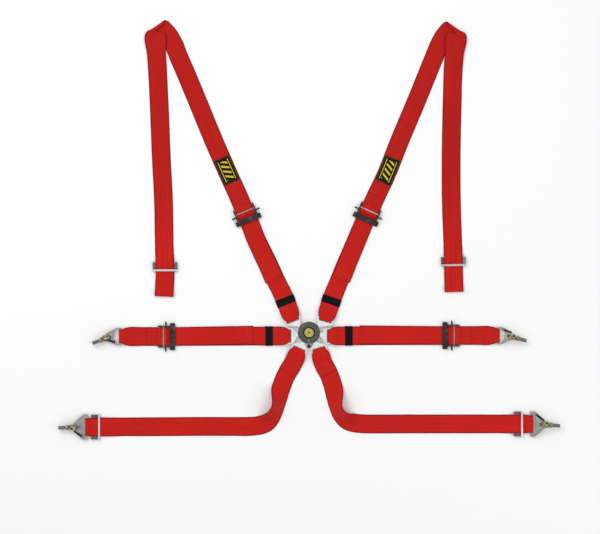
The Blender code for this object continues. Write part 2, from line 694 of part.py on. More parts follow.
def slide_weave(front, way):
    """(s, z) of a strap through a slide whose front bar is at s = front, towards way = 1 or -1.

    The points run from the front bar to just past the last bar."""
    high = SLIDE_UNDER_Z + SLIDE_UNDER_T + WEB_SEAT
    low = SLIDE_UNDER_Z + SLIDE_UNDER_T - WEB_SEAT - 0.2 * MM
    half = SLIDE_UNDER_W / 2
    stations = ((-SLIDE_BAR_W / 2 - MM, low), (SLIDE_BAR_W / 2 + 0.2 * MM, low),
                (SLIDE_BAR_PITCH - half, high), (2 * SLIDE_BAR_PITCH + half, high))
    return [(front + way * d, z) for d, z in stations]


# Snap hooks and eye bolts


def hook_outline(half_bar, half_slot, hole_at, open_centre):
    """The plate's outline and its window, +X from the webbing bar towards the eye bolt."""
    bar, apex = HOOK_BAR / 2, hole_at + HOOK_HOLE_R + HOOK_RIM
    shoulder = bar + 6.5 * MM
    outer = rounded(
        [(-bar, -half_bar), (shoulder, -half_bar), (apex, -9 * MM),
         (apex, 9 * MM), (shoulder, half_bar), (-bar, half_bar)],
        [2 * MM, 5 * MM, 8 * MM, 8 * MM, 5 * MM, 2 * MM])
    window = [(bar, -half_slot), (bar, half_slot), (shoulder, half_slot)]
    if open_centre:
        depth = hole_at - HOOK_HOLE_R - 3.5 * MM
        window += [(depth, 7 * MM), (depth, -7 * MM)]
    window.append((shoulder, -half_slot))
    return outer, window


def build_hook(place, at, heading, half_bar, half_slot, hole_at, open_centre):
    """The hook with its mouth, spring latch, rivet and eye bolt."""
    lean = math.radians(EYE_LEAN[place])
    bar_z = HOOK_LOOP_R + WEB_Z
    eye_z = EYE_R * math.sin(lean) + EYE_WIRE_R + GAP
    pitch = math.asin((eye_z - bar_z) / hole_at)
    matrix = placed(at, heading, bar_z) @ Matrix.Rotation(-pitch, 4, "Y")
    outer, window = hook_outline(half_bar, half_slot, hole_at, open_centre)
    corner = Vector((HOOK_BAR / 2 + 6.5 * MM, half_bar))
    edge = Vector((hole_at + HOOK_HOLE_R + HOOK_RIM, 9 * MM)) - corner
    along = edge.normalized()
    inward = Vector((along.y, -along.x))
    rivet = corner + along * 7 * MM + inward * 4.2 * MM
    tip = rivet + along * (edge.length - 11 * MM) - inward * 2.4 * MM
    hole = circle((hole_at, 0), HOOK_HOLE_R, 16)
    rivet_hole = circle(rivet, RIVET_R + GAP, 10)
    hook = plate("snap_hook_" + place, [outer, window, hole, rivet_hole], HOOK_T, ZINC_STEEL, matrix)
    mouth_turn = (matrix @ Matrix.Translation((hole_at, 0, 0))
                  @ Matrix.Rotation(math.radians(MOUTH_TURN), 4, "Z"))
    half = HOOK_MOUTH / 2
    mouth = boxes("mouth_" + place, [((1.5 * MM, -half, -5 * MM), (40 * MM, half, 5 * MM))],
                  None, mouth_turn)
    boolean(hook, mouth, "DIFFERENCE")

    ahead = (tip - rivet).normalized()
    side = Vector((-ahead.y, ahead.x)) * (LATCH_STRIP_W / 2)
    back, front = rivet - ahead * (LATCH_STRIP_W / 2), tip + ahead * 2 * MM
    strip = rounded([back - side, front - side * 0.8, front + side * 0.8, back + side],
                    [3.2 * MM, 2.4 * MM, 2.4 * MM, 3.2 * MM], 3)
    lift = Matrix.Translation((0, 0, HOOK_T / 2 + GAP + LATCH_STRIP_T / 2))
    plate("hook_latch_" + place, [strip, circle(rivet, RIVET_R + GAP, 10)], LATCH_STRIP_T,
          BLACK_STEEL, matrix @ lift)
    head = 0.8 * MM
    top = HOOK_T / 2 + 2 * GAP + LATCH_STRIP_T
    low = -HOOK_T / 2 - GAP
    turned("latch_rivet_" + place,
           [(0, top + head), (RIVET_R + 0.8 * MM, top + head), (RIVET_R + 1.2 * MM, top),
            (RIVET_R, top), (RIVET_R, low), (RIVET_R + 1.2 * MM, low), (RIVET_R + 0.8 * MM, low - head),
            (0, low - head)],
           10, ZINC_STEEL, matrix @ Matrix.Translation((rivet.x, rivet.y, 0)))

    pivot = matrix @ Vector((hole_at, 0, 0))
    turn = heading + math.radians(EYE_TURN[place])
    eye = Matrix.Translation(pivot) @ Matrix.Rotation(turn, 4, "Z") @ Matrix.Rotation(-lean, 4, "X")
    bpy.ops.mesh.primitive_torus_add(
        major_radius=EYE_R, minor_radius=EYE_WIRE_R, major_segments=20, minor_segments=8)
    ring = bpy.context.active_object
    ring.name = ring.data.name = "eye_bolt_" + place
    put(ring, BOLT_GOLD, eye @ Matrix.Translation((EYE_R, 0, 0)))
    shank_turn = eye @ Matrix.Translation((EYE_R, 0, 0)) @ Matrix.Rotation(math.pi / 2, 4, "Y")
    collar_end = COLLAR_FROM + COLLAR_T
    shank = turned("shank_" + place,
                   [(0, SHANK_END), (SHANK_R - MM, SHANK_END), (SHANK_R, SHANK_END - MM),
                    (SHANK_R, collar_end), (COLLAR_R, collar_end), (COLLAR_R, COLLAR_FROM + MM),
                    (COLLAR_R - MM, COLLAR_FROM), (4.4 * MM, COLLAR_FROM - 0.4 * MM),
                    (4.2 * MM, EYE_R), (0, EYE_R)],
                   14, None, shank_turn)
    boolean(ring, shank, "UNION")


# The straps one by one


def build_shoulder(side):
    slot, grip = SHOULDER_SLOT[side], SHOULDER_ROUTE[side][-1]
    below, beyond = SHOULDER_ROUTE[side][-2], SHOULDER_UPPER[side][1]
    run = (Vector(beyond) - Vector(below)).normalized()
    straight = [Vector(grip) + run * d for d in (-0.050, -0.028, 0)]
    lower = Route([slot, *SHOULDER_ROUTE[side][:-1], *straight])
    place = "shoulder_" + side
    build_tongue("tongue_" + place, slot, lower.angle(0))
    front_strap("webbing_" + place + "_front", lower, lower.length, TAIL_END[side])
    build_keeper("keeper_" + place, lower)
    straight = [Vector(grip) + run * d for d in (0, 0.028, 0.055)]
    upper = Route([*straight, *SHOULDER_UPPER[side][1:], SHOULDER_TOP[side]])
    build_adjuster(place, grip, upper.angle(0))
    pairs = [pair(upper, s, z) for s, z in rear_loop()]

    # The strap turns back over an oblique fold at the top.
    approach, crease = (math.radians(a[side]) for a in (TOP_APPROACH, TOP_CREASE))
    ahead = Vector((math.cos(approach), math.sin(approach)))
    across = Vector((-ahead.y, ahead.x))
    along = Vector((math.cos(crease), math.sin(crease)))
    over = Vector((-along.y, along.x))
    over *= math.copysign(1, ahead.dot(over))
    skew = abs(WEB_WIDTH / 2 * across.dot(over) / ahead.dot(over))
    for s in spread(REAR_BAR_AT + 28 * MM, upper.length - skew - 4 * MM, 16 * MM):
        pairs.append(pair(upper, s, WEB_Z))
    top = Vector(SHOULDER_TOP[side])
    bend = math.pi * TOP_FOLD_R

    def on_fold(advance, edge):
        run = (advance - edge * across.dot(over)) / ahead.dot(over)
        shift = (ahead * run + across * edge).dot(along)
        angle = min(max(advance / TOP_FOLD_R, 0), math.pi)
        out = TOP_FOLD_R * math.sin(angle) + min(advance, 0) - max(advance - bend, 0)
        flat = top + along * shift + over * out
        return Vector((flat.x, flat.y, WEB_Z + TOP_FOLD_R * (1 - math.cos(angle))))

    for advance in [-MM, *spread(0, bend, bend / 6), bend + MM]:
        pairs.append((on_fold(advance, WEB_WIDTH / 2), on_fold(advance, -WEB_WIDTH / 2)))

    start = top + over * bend
    away = ahead - over * 2 * ahead.dot(over)
    down = Route([start, start + away * (skew + 8 * MM), *SHOULDER_DOWN[side],
                  SHOULDER_SLIDE[side], SHOULDER_END[side]])
    fold_z = WEB_Z + 2 * TOP_FOLD_R
    crossed = down.nearest(SHOULDER_DOWN[side][0])
    front = down.nearest(SHOULDER_SLIDE[side])
    woven = slide_weave(front, -1)[::-1]
    points = [(skew + 4 * MM, fold_z), (crossed - 12 * MM, WEB_Z + 2 * LAYER),
              (crossed + 24 * MM, WEB_Z + LAYER)]
    points += [(s, WEB_Z) for s in spread(crossed + 50 * MM, front - SLIDE_TAIL - RAMP, LONG_STEP)]
    points.append((front - SLIDE_TAIL - 2 * MM, WEB_Z + LAYER))
    points += woven
    far = down.length
    points += [(front + 16 * MM, WEB_Z + LAYER + 0.6 * MM), (far - 20 * MM, WEB_Z + LAYER + 1.8 * MM)]
    points += half_turn(far - 4.2 * MM, WEB_Z + END_LOOP_R, END_LOOP_R, False, True, 8)
    points += [(s, WEB_Z) for s in (far - 26 * MM, front, front - SLIDE_TAIL)]
    for s, z in points:
        left, right = pair(down, s, z)
        pairs.append((left, right))
    strap("webbing_" + place + "_rear", pairs)
    build_slide("slide_" + place, down.at(front), down.angle(front) + math.pi)
    at = upper.nearest(LABEL_AT[side])
    label_z = 2 * WEB_Z + GAP + LABEL_T / 2
    patch = [pair(upper, s, label_z, LABEL_WIDTH)
             for s in spread(at - LABEL_LENGTH / 2, at + LABEL_LENGTH / 2, 12 * MM)]
    strap("label_" + place, patch, LABEL_CLOTH, LABEL_T)


def hook_loop(at, main_z, tail_z, tail_reach, waist):
    """(s, z, width) round a hook's bar at s = at and back under itself."""
    centre = HOOK_LOOP_R + WEB_Z
    points = [(at - 3 * MM, centre + HOOK_LOOP_R)]
    points += half_turn(at, centre, HOOK_LOOP_R, False, True)
    points += [(at - 12 * MM, tail_z), (at - tail_reach, tail_z)]
    start = [(at - 22 * MM, main_z)]
    return [(s, z, narrowed(s, at - 20 * MM, at + 2 * MM, waist)) for s, z in start + points]


def build_lap(side):
    slot, grip, hook = LAP_SLOT[side], LAP_ADJUSTER[side], LAP_HOOK[side]
    place = "lap_" + side
    lower = Route([slot, grip])
    build_tongue("tongue_" + place, slot, lower.angle(0))
    front_strap("webbing_" + place + "_front", lower, lower.length, LAP_TAIL_END[side])
    build_keeper("keeper_" + place, lower)
    outer = Route([grip, hook])
    build_adjuster(place, grip, outer.angle(0))
    points = [(s, z, WEB_WIDTH) for s, z in rear_loop()]
    points += [(SEWN_END, WEB_Z, WEB_WIDTH), (SEWN_END + 18 * MM, WEB_Z + LAYER, WEB_WIDTH)]
    points += hook_loop(outer.length, WEB_Z + LAYER, WEB_Z, 48 * MM, 36 * MM)
    strap("webbing_" + place + "_anchor", [pair(outer, s, z, w) for s, z, w in points])
    build_hook(place, hook, outer.angle(0), 23 * MM, 19 * MM, 28 * MM, True)


def build_crotch(side):
    slot, hook = CROTCH_SLOT[side], CROTCH_HOOK[side]
    place = "crotch_" + side
    route = Route([slot, *CROTCH_ROUTE[side], CROTCH_SLIDE[side], hook])
    build_tongue("tongue_" + place, slot, route.angle(0))
    radius = TONGUE_T / 2 + WEB_SEAT
    upper = WEB_Z + LAYER
    points = [(CROTCH_SEWN_END, upper, WEB_WIDTH, 0), (LOOP_SETTLE, upper, WEB_WIDTH, 0)]
    loop = [(TONGUE_BAR + 2 * MM, TONGUE_Z + radius)] + half_turn(0, TONGUE_Z, radius, True, True)
    loop += [(TONGUE_BAR + 2 * MM, TONGUE_Z - radius - GAP), (LOOP_SETTLE, WEB_Z)]
    points += [(s, z, narrowed(-s, -16 * MM, 0, TONGUE_WAIST), 0) for s, z in loop]
    points += [(s, WEB_Z, WEB_WIDTH, 0) for s in (CROTCH_SEWN_END, BANK_FROM - 12 * MM)]
    sign = -1 if side == LEFT else 1
    for s in spread(BANK_FROM, BANK_FROM + BANK_LENGTH, 8 * MM):
        share = math.sin(math.pi * (s - BANK_FROM) / BANK_LENGTH) ** 2
        points.append((s, WEB_Z, WEB_WIDTH, sign * CROTCH_BANK * share))
    front = route.nearest(CROTCH_SLIDE[side])
    way = CROTCH_SLIDE_WAY[side]
    woven = slide_weave(front, way)[::way]
    for s in spread(BANK_FROM + BANK_LENGTH + 12 * MM, front - SLIDE_TAIL - RAMP, LONG_STEP):
        points.append((s, WEB_Z, WEB_WIDTH, 0))
    points.append((front - SLIDE_TAIL - 2 * MM, WEB_Z + LAYER, WEB_WIDTH, 0))
    points += [(s, z, WEB_WIDTH, 0) for s, z in woven]
    tail_reach = route.length - front + SLIDE_TAIL
    turn = hook_loop(route.length, 0, WEB_Z, tail_reach, 46 * MM)[1:]
    points += [(*p, 0) for p in turn]
    strap("webbing_" + place, [pair(route, s, z, w, bank) for s, z, w, bank in points])
    turned_round = 0 if way == 1 else math.pi
    build_slide("slide_" + place, route.at(front), route.angle(front) + turned_round)
    build_hook(place, hook, route.angle(route.length), 34 * MM, 26.2 * MM, 26 * MM, False)


slots = [*SHOULDER_SLOT.values(), *LAP_SLOT.values(), *CROTCH_SLOT.values()]
build_buckle([math.atan2(y, x) for x, y in slots])
for which in (LEFT, RIGHT):
    build_shoulder(which)
    build_lap(which)
    build_crotch(which)
for part in HARNESS.objects:
    if part.type == "MESH" and not part.name.startswith(("webbing", "label", "keeper")):
        smooth_shading(part)
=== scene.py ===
import math
import json
import bmesh
import bpy
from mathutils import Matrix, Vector, noise

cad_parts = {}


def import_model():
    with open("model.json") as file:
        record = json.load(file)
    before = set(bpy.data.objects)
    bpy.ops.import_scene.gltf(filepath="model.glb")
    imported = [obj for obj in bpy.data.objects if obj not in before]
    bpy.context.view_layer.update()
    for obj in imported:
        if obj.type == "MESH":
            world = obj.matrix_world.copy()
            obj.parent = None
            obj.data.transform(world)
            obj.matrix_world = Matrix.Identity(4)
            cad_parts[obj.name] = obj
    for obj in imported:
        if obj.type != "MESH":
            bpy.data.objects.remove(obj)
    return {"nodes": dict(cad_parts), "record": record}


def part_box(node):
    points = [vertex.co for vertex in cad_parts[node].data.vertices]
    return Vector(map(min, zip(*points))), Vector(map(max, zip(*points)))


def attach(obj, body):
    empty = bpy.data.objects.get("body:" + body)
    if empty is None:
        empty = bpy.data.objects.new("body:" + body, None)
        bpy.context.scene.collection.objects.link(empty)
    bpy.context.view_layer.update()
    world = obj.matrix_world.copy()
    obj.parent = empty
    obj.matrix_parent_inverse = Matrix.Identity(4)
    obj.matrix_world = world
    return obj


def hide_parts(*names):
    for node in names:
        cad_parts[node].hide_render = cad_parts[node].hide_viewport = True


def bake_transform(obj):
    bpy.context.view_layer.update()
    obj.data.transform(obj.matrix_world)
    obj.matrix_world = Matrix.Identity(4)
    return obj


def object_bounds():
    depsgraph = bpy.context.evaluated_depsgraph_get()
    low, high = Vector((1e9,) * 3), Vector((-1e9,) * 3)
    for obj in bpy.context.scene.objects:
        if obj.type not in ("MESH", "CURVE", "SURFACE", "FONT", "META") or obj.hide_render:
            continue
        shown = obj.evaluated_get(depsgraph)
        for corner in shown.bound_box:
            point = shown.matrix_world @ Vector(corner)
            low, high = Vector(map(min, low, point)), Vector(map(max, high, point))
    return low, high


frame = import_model()
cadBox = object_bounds()
mm = 0.001
print("stage: frame loaded")

studio = {
    "viewCentre": (-0.0240, 0.1749), "viewWidth": 1.602, "cameraHeight": 6.0,
    "floorColour": (0.95, 0.95, 0.95), "skyTop": 1.18, "skyRim": 0.40,
    "keyPower": 34, "fillPower": 13, "floorReach": 8, "floorGap": 0.4 * mm,
}


def buildStudio():
    scene = bpy.context.scene
    scene.view_settings.view_transform = "Standard"
    camera = bpy.data.cameras.new("camera")
    camera.sensor_width = 36
    camera.lens = 36 * studio["cameraHeight"] / studio["viewWidth"]
    camera.clip_end = 50
    cameraObject = bpy.data.objects.new("camera", camera)
    cameraObject.location = (*studio["viewCentre"], studio["cameraHeight"])
    scene.collection.objects.link(cameraObject)
    scene.camera = cameraObject

    for name, at, size, power in (
            ("keyLight", (-1.6, 1.9, 2.6), 1.8, studio["keyPower"]),
            ("fillLight", (2.2, -0.6, 2.2), 2.2, studio["fillPower"])):
        light = bpy.data.lights.new(name, "AREA")
        light.size = size
        light.energy = power
        lamp = bpy.data.objects.new(name, light)
        lamp.location = at
        lamp.rotation_euler = (Vector((0, 0.2, 0)) - lamp.location).to_track_quat("-Z", "Y").to_euler()
        scene.collection.objects.link(lamp)

    world = bpy.data.worlds.new("softSky")
    scene.world = world
    world.use_nodes = True
    tree = world.node_tree
    tree.nodes.clear()
    where = tree.nodes.new("ShaderNodeTexCoord")
    split = tree.nodes.new("ShaderNodeSeparateXYZ")
    ramp = tree.nodes.new("ShaderNodeMapRange")
    ramp.inputs["From Min"].default_value = -0.05
    ramp.inputs["From Max"].default_value = 0.95
    ramp.inputs["To Min"].default_value = studio["skyRim"]
    ramp.inputs["To Max"].default_value = studio["skyTop"]
    sky = tree.nodes.new("ShaderNodeBackground")
    out = tree.nodes.new("ShaderNodeOutputWorld")
    tree.links.new(where.outputs["Generated"], split.inputs[0])
    tree.links.new(split.outputs["Z"], ramp.inputs["Value"])
    tree.links.new(ramp.outputs["Result"], sky.inputs["Strength"])
    tree.links.new(sky.outputs[0], out.inputs[0])

    floorMesh = bpy.data.meshes.new("studioFloor")
    reach = studio["floorReach"]
    floorMesh.from_pydata([(-reach, -reach, 0), (reach, -reach, 0), (reach, reach, 0), (-reach, reach, 0)],
                          [], [(0, 1, 2, 3)])
    floor = bpy.data.objects.new("studioFloor", floorMesh)
    floor.location = (0, 0, cadBox[0][2] - studio["floorGap"])
    scene.collection.objects.link(floor)
    paper = bpy.data.materials.new("studioPaper")
    paper.use_nodes = True
    shader = paper.node_tree.nodes["Principled BSDF"]
    shader.inputs["Base Color"].default_value = (*studio["floorColour"], 1)
    shader.inputs["Roughness"].default_value = 0.9
    shader.inputs["Specular IOR Level"].default_value = 0.1
    floorMesh.materials.append(paper)


class Surface:
    # a Principled material with short ways to chain its nodes
    def __init__(self, name, colour, roughness, metallic=0.0, **sockets):
        self.material = bpy.data.materials.new(name)
        self.material.use_nodes = True
        self.tree = self.material.node_tree
        self.shader = self.tree.nodes["Principled BSDF"]
        self.shader.inputs["Base Color"].default_value = (*colour, 1)
        self.shader.inputs["Roughness"].default_value = roughness
        self.shader.inputs["Metallic"].default_value = metallic
        for socket, value in sockets.items():
            self.shader.inputs[socket.replace("_", " ")].default_value = value

    def feed(self, socket, value):
        # numbers and colours are set on the socket, and anything else is linked to it
        if isinstance(value, (int, float)):
            socket.default_value = value
        elif isinstance(value, tuple):
            socket.default_value = (*value, 1)
        else:
            self.tree.links.new(value, socket)

    def node(self, kind, feeds=None, **settings):
        made = self.tree.nodes.new("ShaderNode" + kind)
        for key, value in settings.items():
            setattr(made, key, value)
        for socket, value in (feeds or {}).items():
            self.feed(made.inputs[socket], value)
        return made

    def maths(self, operation, first, second=None, clamp=False):
        feeds = {0: first} if second is None else {0: first, 1: second}
        return self.node("Math", feeds, operation=operation, use_clamp=clamp).outputs[0]

    def times(self, first, second):
        return self.maths("MULTIPLY", first, second)

    def plus(self, first, second):
        return self.maths("ADD", first, second)

    def under(self, value, limit):
        return self.maths("LESS_THAN", value, limit)

    def wave(self, value, pitch):
        return self.maths("SINE", self.times(value, 2 * math.pi / pitch))

    def mix(self, share, first, second):
        return self.node("Mix", {0: share, 6: first, 7: second}, data_type="RGBA").outputs[2]

    def shades(self, share, colour, low, high):
        # between two strengths of one colour
        return self.mix(share, tuple(c * low for c in colour), tuple(c * high for c in colour))

    def remap(self, value, low, high, toLow=0.0, toHigh=1.0):
        feeds = {"Value": value, "From Min": low, "From Max": high, "To Min": toLow, "To Max": toHigh}
        return self.node("MapRange", feeds).outputs["Result"]

    def noise(self, scale, detail=3.0, roughness=0.5, coordinates=None):
        where = coordinates or self.node("TexCoord").outputs["Object"]
        feeds = {"Vector": where, "Scale": scale, "Detail": detail, "Roughness": roughness}
        return self.node("TexNoise", feeds).outputs["Fac"]

    def edges(self, low, high):
        return self.remap(self.node("NewGeometry").outputs["Pointiness"], low, high)

    def northing(self):
        return self.node("SeparateXYZ", {"Vector": self.node("TexCoord").outputs["Object"]}).outputs["Y"]

    def alongStrap(self):
        # (across, along) in millimetres, from the strap's own map
        where = self.node("UVMap", uv_map="strapLay").outputs["UV"]
        split = self.node("SeparateXYZ", {"Vector": where})
        return split.outputs["X"], split.outputs["Y"]

    def colour(self, value):
        self.feed(self.shader.inputs["Base Color"], value)

    def rough(self, value):
        self.feed(self.shader.inputs["Roughness"], value)

    def bump(self, height, distance, strength=1.0):
        made = self.node("Bump", {"Height": height, "Distance": distance, "Strength": strength})
        self.feed(self.shader.inputs["Normal"], made.outputs["Normal"])


# millimetres on the strap; selvedge is the darker band along each edge
webbingLook = {
    "colour": (0.640, 0.0135, 0.0085), "deep": (0.455, 0.0085, 0.0060), "selvedge": (0.150, 0.0050, 0.0060),
    "selvedgeWidth": 2.6, "halfWidth": 25.0, "ribPitch": 2.1, "ribLean": 1.6, "pickPitch": 1.25,
    "weaveHeight": 0.00022, "paintedShadeFrom": 0.20, "paintedShadeTo": 0.42,
}


def redWebbing():
    look = webbingLook
    made = Surface("redWebbing", look["colour"], 0.72, Sheen_Weight=0.06, Sheen_Roughness=0.45,
                   Specular_IOR_Level=0.12)
    across, along = made.alongStrap()
    # twill ribs run lengthwise, and each rib's threads step along it
    lean = made.times(made.maths("PINGPONG", across, look["ribPitch"]), look["ribLean"])
    picks = made.wave(made.plus(along, lean), look["pickPitch"])
    weave = made.plus(made.times(made.wave(across, look["ribPitch"]), 0.6), made.times(picks, 0.4))
    # long soft streaks and broad patches of tone
    stretched = made.node("CombineXYZ", {"X": made.times(across, 0.22), "Y": made.times(along, 0.006)})
    streaks = made.noise(1.0, 4, 0.6, stretched.outputs[0])
    patches = made.noise(7.0, 2, 0.5)
    tone = made.remap(made.plus(made.times(streaks, 0.75), made.times(patches, 0.45)), 0.36, 0.74)
    # painted shade: the webbing is darkened towards +Y, over the shoulder straps' upper runs
    upper = made.remap(made.northing(), look["paintedShadeFrom"], look["paintedShadeTo"], 0.0, 0.55)
    tone = made.maths("SUBTRACT", tone, upper, True)
    colour = made.mix(tone, look["deep"], look["colour"])
    thread = made.remap(weave, -1.0, 0.7, 0.80, 1.0)
    colour = made.mix(made.remap(thread, 0.80, 1.0, 0.20, 0.0), colour, look["deep"])
    fromEdge = made.maths("SUBTRACT", look["halfWidth"], made.maths("ABSOLUTE", across))
    edge = made.remap(fromEdge, look["selvedgeWidth"] * 0.55, look["selvedgeWidth"] * 1.5, 1.0, 0.0)
    made.colour(made.mix(made.times(edge, 0.78), colour, look["selvedge"]))
    made.rough(made.remap(weave, -1.0, 1.0, 0.74, 0.56))
    made.bump(weave, look["weaveHeight"], 0.75)
    return made.material


elasticLook = {
    "low": (0.0022, 0.0018, 0.0018), "high": (0.013, 0.010, 0.0095), "ribPitch": 1.4, "crossPitch": 0.9,
}


def blackElastic():
    look = elasticLook
    made = Surface("blackElastic", (0.006, 0.005, 0.005), 0.9, Sheen_Weight=0.02, Specular_IOR_Level=0.12)
    across, along = made.alongStrap()
    weave = made.plus(made.times(made.wave(along, look["ribPitch"]), 0.7),
                      made.times(made.wave(across, look["crossPitch"]), 0.3))
    made.colour(made.mix(made.remap(weave, -1, 1), look["low"], look["high"]))
    made.bump(weave, 0.0002, 0.8)
    return made.material


# millimetres on the patch; lineFrom and lineTo are the two lines' edges from the middle
labelLook = {
    "ground": (0.014, 0.011, 0.008), "stripe": (0.80, 0.62, 0.035), "dullStripe": (0.56, 0.40, 0.02),
    "groundLow": (0.003, 0.0022, 0.0016), "groundHigh": (0.014, 0.010, 0.007),
    "length": 72.0, "width": 44.0, "thickness": 0.7, "lineFrom": 12.6, "lineTo": 14.6, "lineReach": 29.0,
    "barSlant": 0.55, "barPitch": 7.0, "barWidth": 2.9, "barHalf": 9.8, "barReach": 26.0,
    "threadPitch": 0.7, "pickPitch": 0.9,
}


def stripedLabel():
    # two lines along the patch, and slanting bars between them
    look = labelLook
    made = Surface("stripedLabel", look["ground"], 0.8, Sheen_Weight=0.02, Specular_IOR_Level=0.15)
    across, along = made.alongStrap()
    side, reach = made.maths("ABSOLUTE", across), made.maths("ABSOLUTE", along)
    line = made.times(made.maths("GREATER_THAN", side, look["lineFrom"]), made.under(side, look["lineTo"]))
    line = made.times(line, made.under(reach, look["lineReach"]))
    slant = made.plus(along, made.times(across, look["barSlant"]))
    cell = made.maths("PINGPONG", made.plus(slant, 200.0), look["barPitch"])
    bars = made.times(made.under(cell, look["barWidth"]), made.under(side, look["barHalf"]))
    bars = made.times(bars, made.under(reach, look["barReach"]))
    shown = made.maths("MAXIMUM", line, bars)
    weave = made.times(made.wave(along, look["threadPitch"]), made.wave(across, look["pickPitch"]))
    raised = made.remap(weave, -1, 1)
    ground = made.mix(raised, look["groundLow"], look["groundHigh"])
    made.colour(made.mix(shown, ground, made.mix(raised, look["dullStripe"], look["stripe"])))
    made.rough(made.remap(weave, -1, 1, 0.85, 0.6))
    made.bump(made.plus(weave, made.times(shown, 1.5)), 0.00015, 0.7)
    return made.material


def sewingThread(name, colour):
    made = Surface(name, colour, 0.5, Sheen_Weight=0.3)
    ply = made.noise(2600, 2)
    made.colour(made.shades(made.remap(ply, 0.35, 0.7), colour, 0.7, 1))
    made.bump(ply, 0.0001, 0.5)
    return made.material


def plated(name, colour, worn, roughness, speckle=900, wear=0.35):
    # plate with fine grain, a few dull patches and rubbed edges
    made = Surface(name, colour, roughness, 1.0)
    grain = made.noise(speckle, 4, 0.65)
    patch = made.noise(60, 3, 0.6)
    tone = made.shades(made.remap(patch, 0.42, 0.68), colour, 1, 0.80)
    tone = made.mix(made.times(made.remap(grain, 0.45, 0.7), 0.35), tone, tuple(c * 0.62 for c in colour))
    made.colour(made.mix(made.times(made.edges(0.50, 0.58), wear), tone, worn))
    made.rough(made.plus(made.remap(patch, 0.35, 0.7, roughness * 0.75, roughness * 1.25),
                         made.remap(grain, 0.4, 0.7, 0, 0.08)))
    made.bump(grain, 0.00006, 0.35)
    return made.material


def coatedSteel(name, colour, edge, roughness, grain=1400):
    # dark coating, with the metal showing through along its edges
    made = Surface(name, colour, roughness, 0.2, Specular_IOR_Level=0.35, Coat_Weight=0.08, Coat_Roughness=0.25)
    fine = made.noise(grain, 4, 0.6)
    scuffs = made.times(made.edges(0.515, 0.575), made.remap(made.noise(90, 3, 0.6), 0.50, 0.72))
    tone = made.shades(made.remap(fine, 0.4, 0.7), colour, 0.7, 1.5)
    made.colour(made.mix(made.times(scuffs, 0.45), tone, edge))
    made.rough(made.remap(fine, 0.3, 0.7, roughness * 0.8, roughness * 1.3))
    made.bump(fine, 0.00012, 0.5)
    return made.material


def leverCoat():
    # grey-green along the stem, turning dark brown at the round tab
    made = Surface("leverCoat", (0.05, 0.05, 0.045), 0.4, 0.5, Coat_Weight=0.3, Coat_Roughness=0.2)
    share = made.remap(made.northing(), -0.0315, -0.029)
    fine = made.noise(900, 3)
    speckle = made.remap(fine, 0.35, 0.7)
    stem = made.mix(speckle, (0.13, 0.135, 0.118), (0.22, 0.225, 0.20))
    tab = made.mix(speckle, (0.022, 0.012, 0.009), (0.045, 0.027, 0.020))
    made.colour(made.mix(share, tab, stem))
    made.bump(fine, 0.0001, 0.4)
    return made.material


def buildMaterials():
    return {
        "webbing": redWebbing(),
        "elastic": blackElastic(),
        "label": stripedLabel(),
        "redThread": sewingThread("redThread", (0.50, 0.012, 0.009)),
        "goldThread": sewingThread("goldThread", (0.62, 0.45, 0.03)),
        "chrome": plated("brightChrome", (0.86, 0.87, 0.88), (0.95, 0.95, 0.95), 0.17, 1200, 0.6),
        "zinc": plated("dullZinc", (0.30, 0.31, 0.285), (0.60, 0.60, 0.57), 0.38, 800, 0.5),
        "gold": plated("goldPassivate", (0.235, 0.185, 0.090), (0.55, 0.46, 0.27), 0.28, 700, 0.5),
        "shank": plated("greyShank", (0.20, 0.205, 0.185), (0.50, 0.50, 0.46), 0.34, 900, 0.6),
        "spring": plated("springWire", (0.45, 0.45, 0.44), (0.7, 0.7, 0.7), 0.3),
        "black": coatedSteel("blackCoat", (0.016, 0.0115, 0.0090), (0.22, 0.20, 0.175), 0.34),
        "latch": coatedSteel("latchBlack", (0.012, 0.011, 0.011), (0.15, 0.14, 0.13), 0.42),
        "dial": coatedSteel("dialCoat", (0.075, 0.078, 0.070), (0.30, 0.31, 0.28), 0.40, 500),
        "lever": leverCoat(),
        "slide": plated("slideChrome", (0.50, 0.465, 0.445), (0.86, 0.84, 0.82), 0.22, 1200, 0.5),
        # the slide's cheeks are the same plated metal as its bars, painted dark as painted shade and dark
        # reflection
        "slideCheekPaintedShade": plated("slideCheekPaintedShade", (0.085, 0.078, 0.066), (0.42, 0.40, 0.37), 0.30, 1200, 0.5),
        "badge": plated("badgeYellow", (0.60, 0.50, 0.13), (0.86, 0.78, 0.36), 0.30, 900, 0.5),
        "recess": coatedSteel("recessBlack", (0.009, 0.009, 0.009), (0.06, 0.06, 0.06), 0.45),
        "badgeGroove": plated("badgeGroove", (0.30, 0.235, 0.035), (0.50, 0.42, 0.12), 0.40, 900, 0.4),
    }


def titled(kind, side):
    return kind + side.capitalize()


def meshFrom(name, bm):
    bmesh.ops.recalc_face_normals(bm, faces=bm.faces)
    mesh = bpy.data.meshes.new(name)
    bm.to_mesh(mesh)
    bm.free()
    return mesh


def linked(name, mesh, materials):
    for material in materials:
        mesh.materials.append(material)
    made = bpy.data.objects.new(name, mesh)
    bpy.context.scene.collection.objects.link(made)
    return made


def wovenMesh(name, bm, lay, spots, material):
    # smooth all over, with each vertex's place on the strap in millimetres
    for face in bm.faces:
        face.smooth = True
        for loop in face.loops:
            loop[lay].uv = spots[loop.vert]
    return linked(name, meshFrom(name, bm), [material])


strap = {
    "width": 50 * mm, "thickness": 1.4 * mm, "air": 0.3 * mm, "columns": 16, "pitch": 2.6 * mm,
    "rounding": 0.9 * mm, "ripple": 0.04 * mm, "slack": 0.05 * mm,
}
flat = strap["thickness"] / 2             # centre height of a strap on the floor
layer = strap["thickness"] + strap["air"]
seat = strap["thickness"] / 2 + strap["air"]


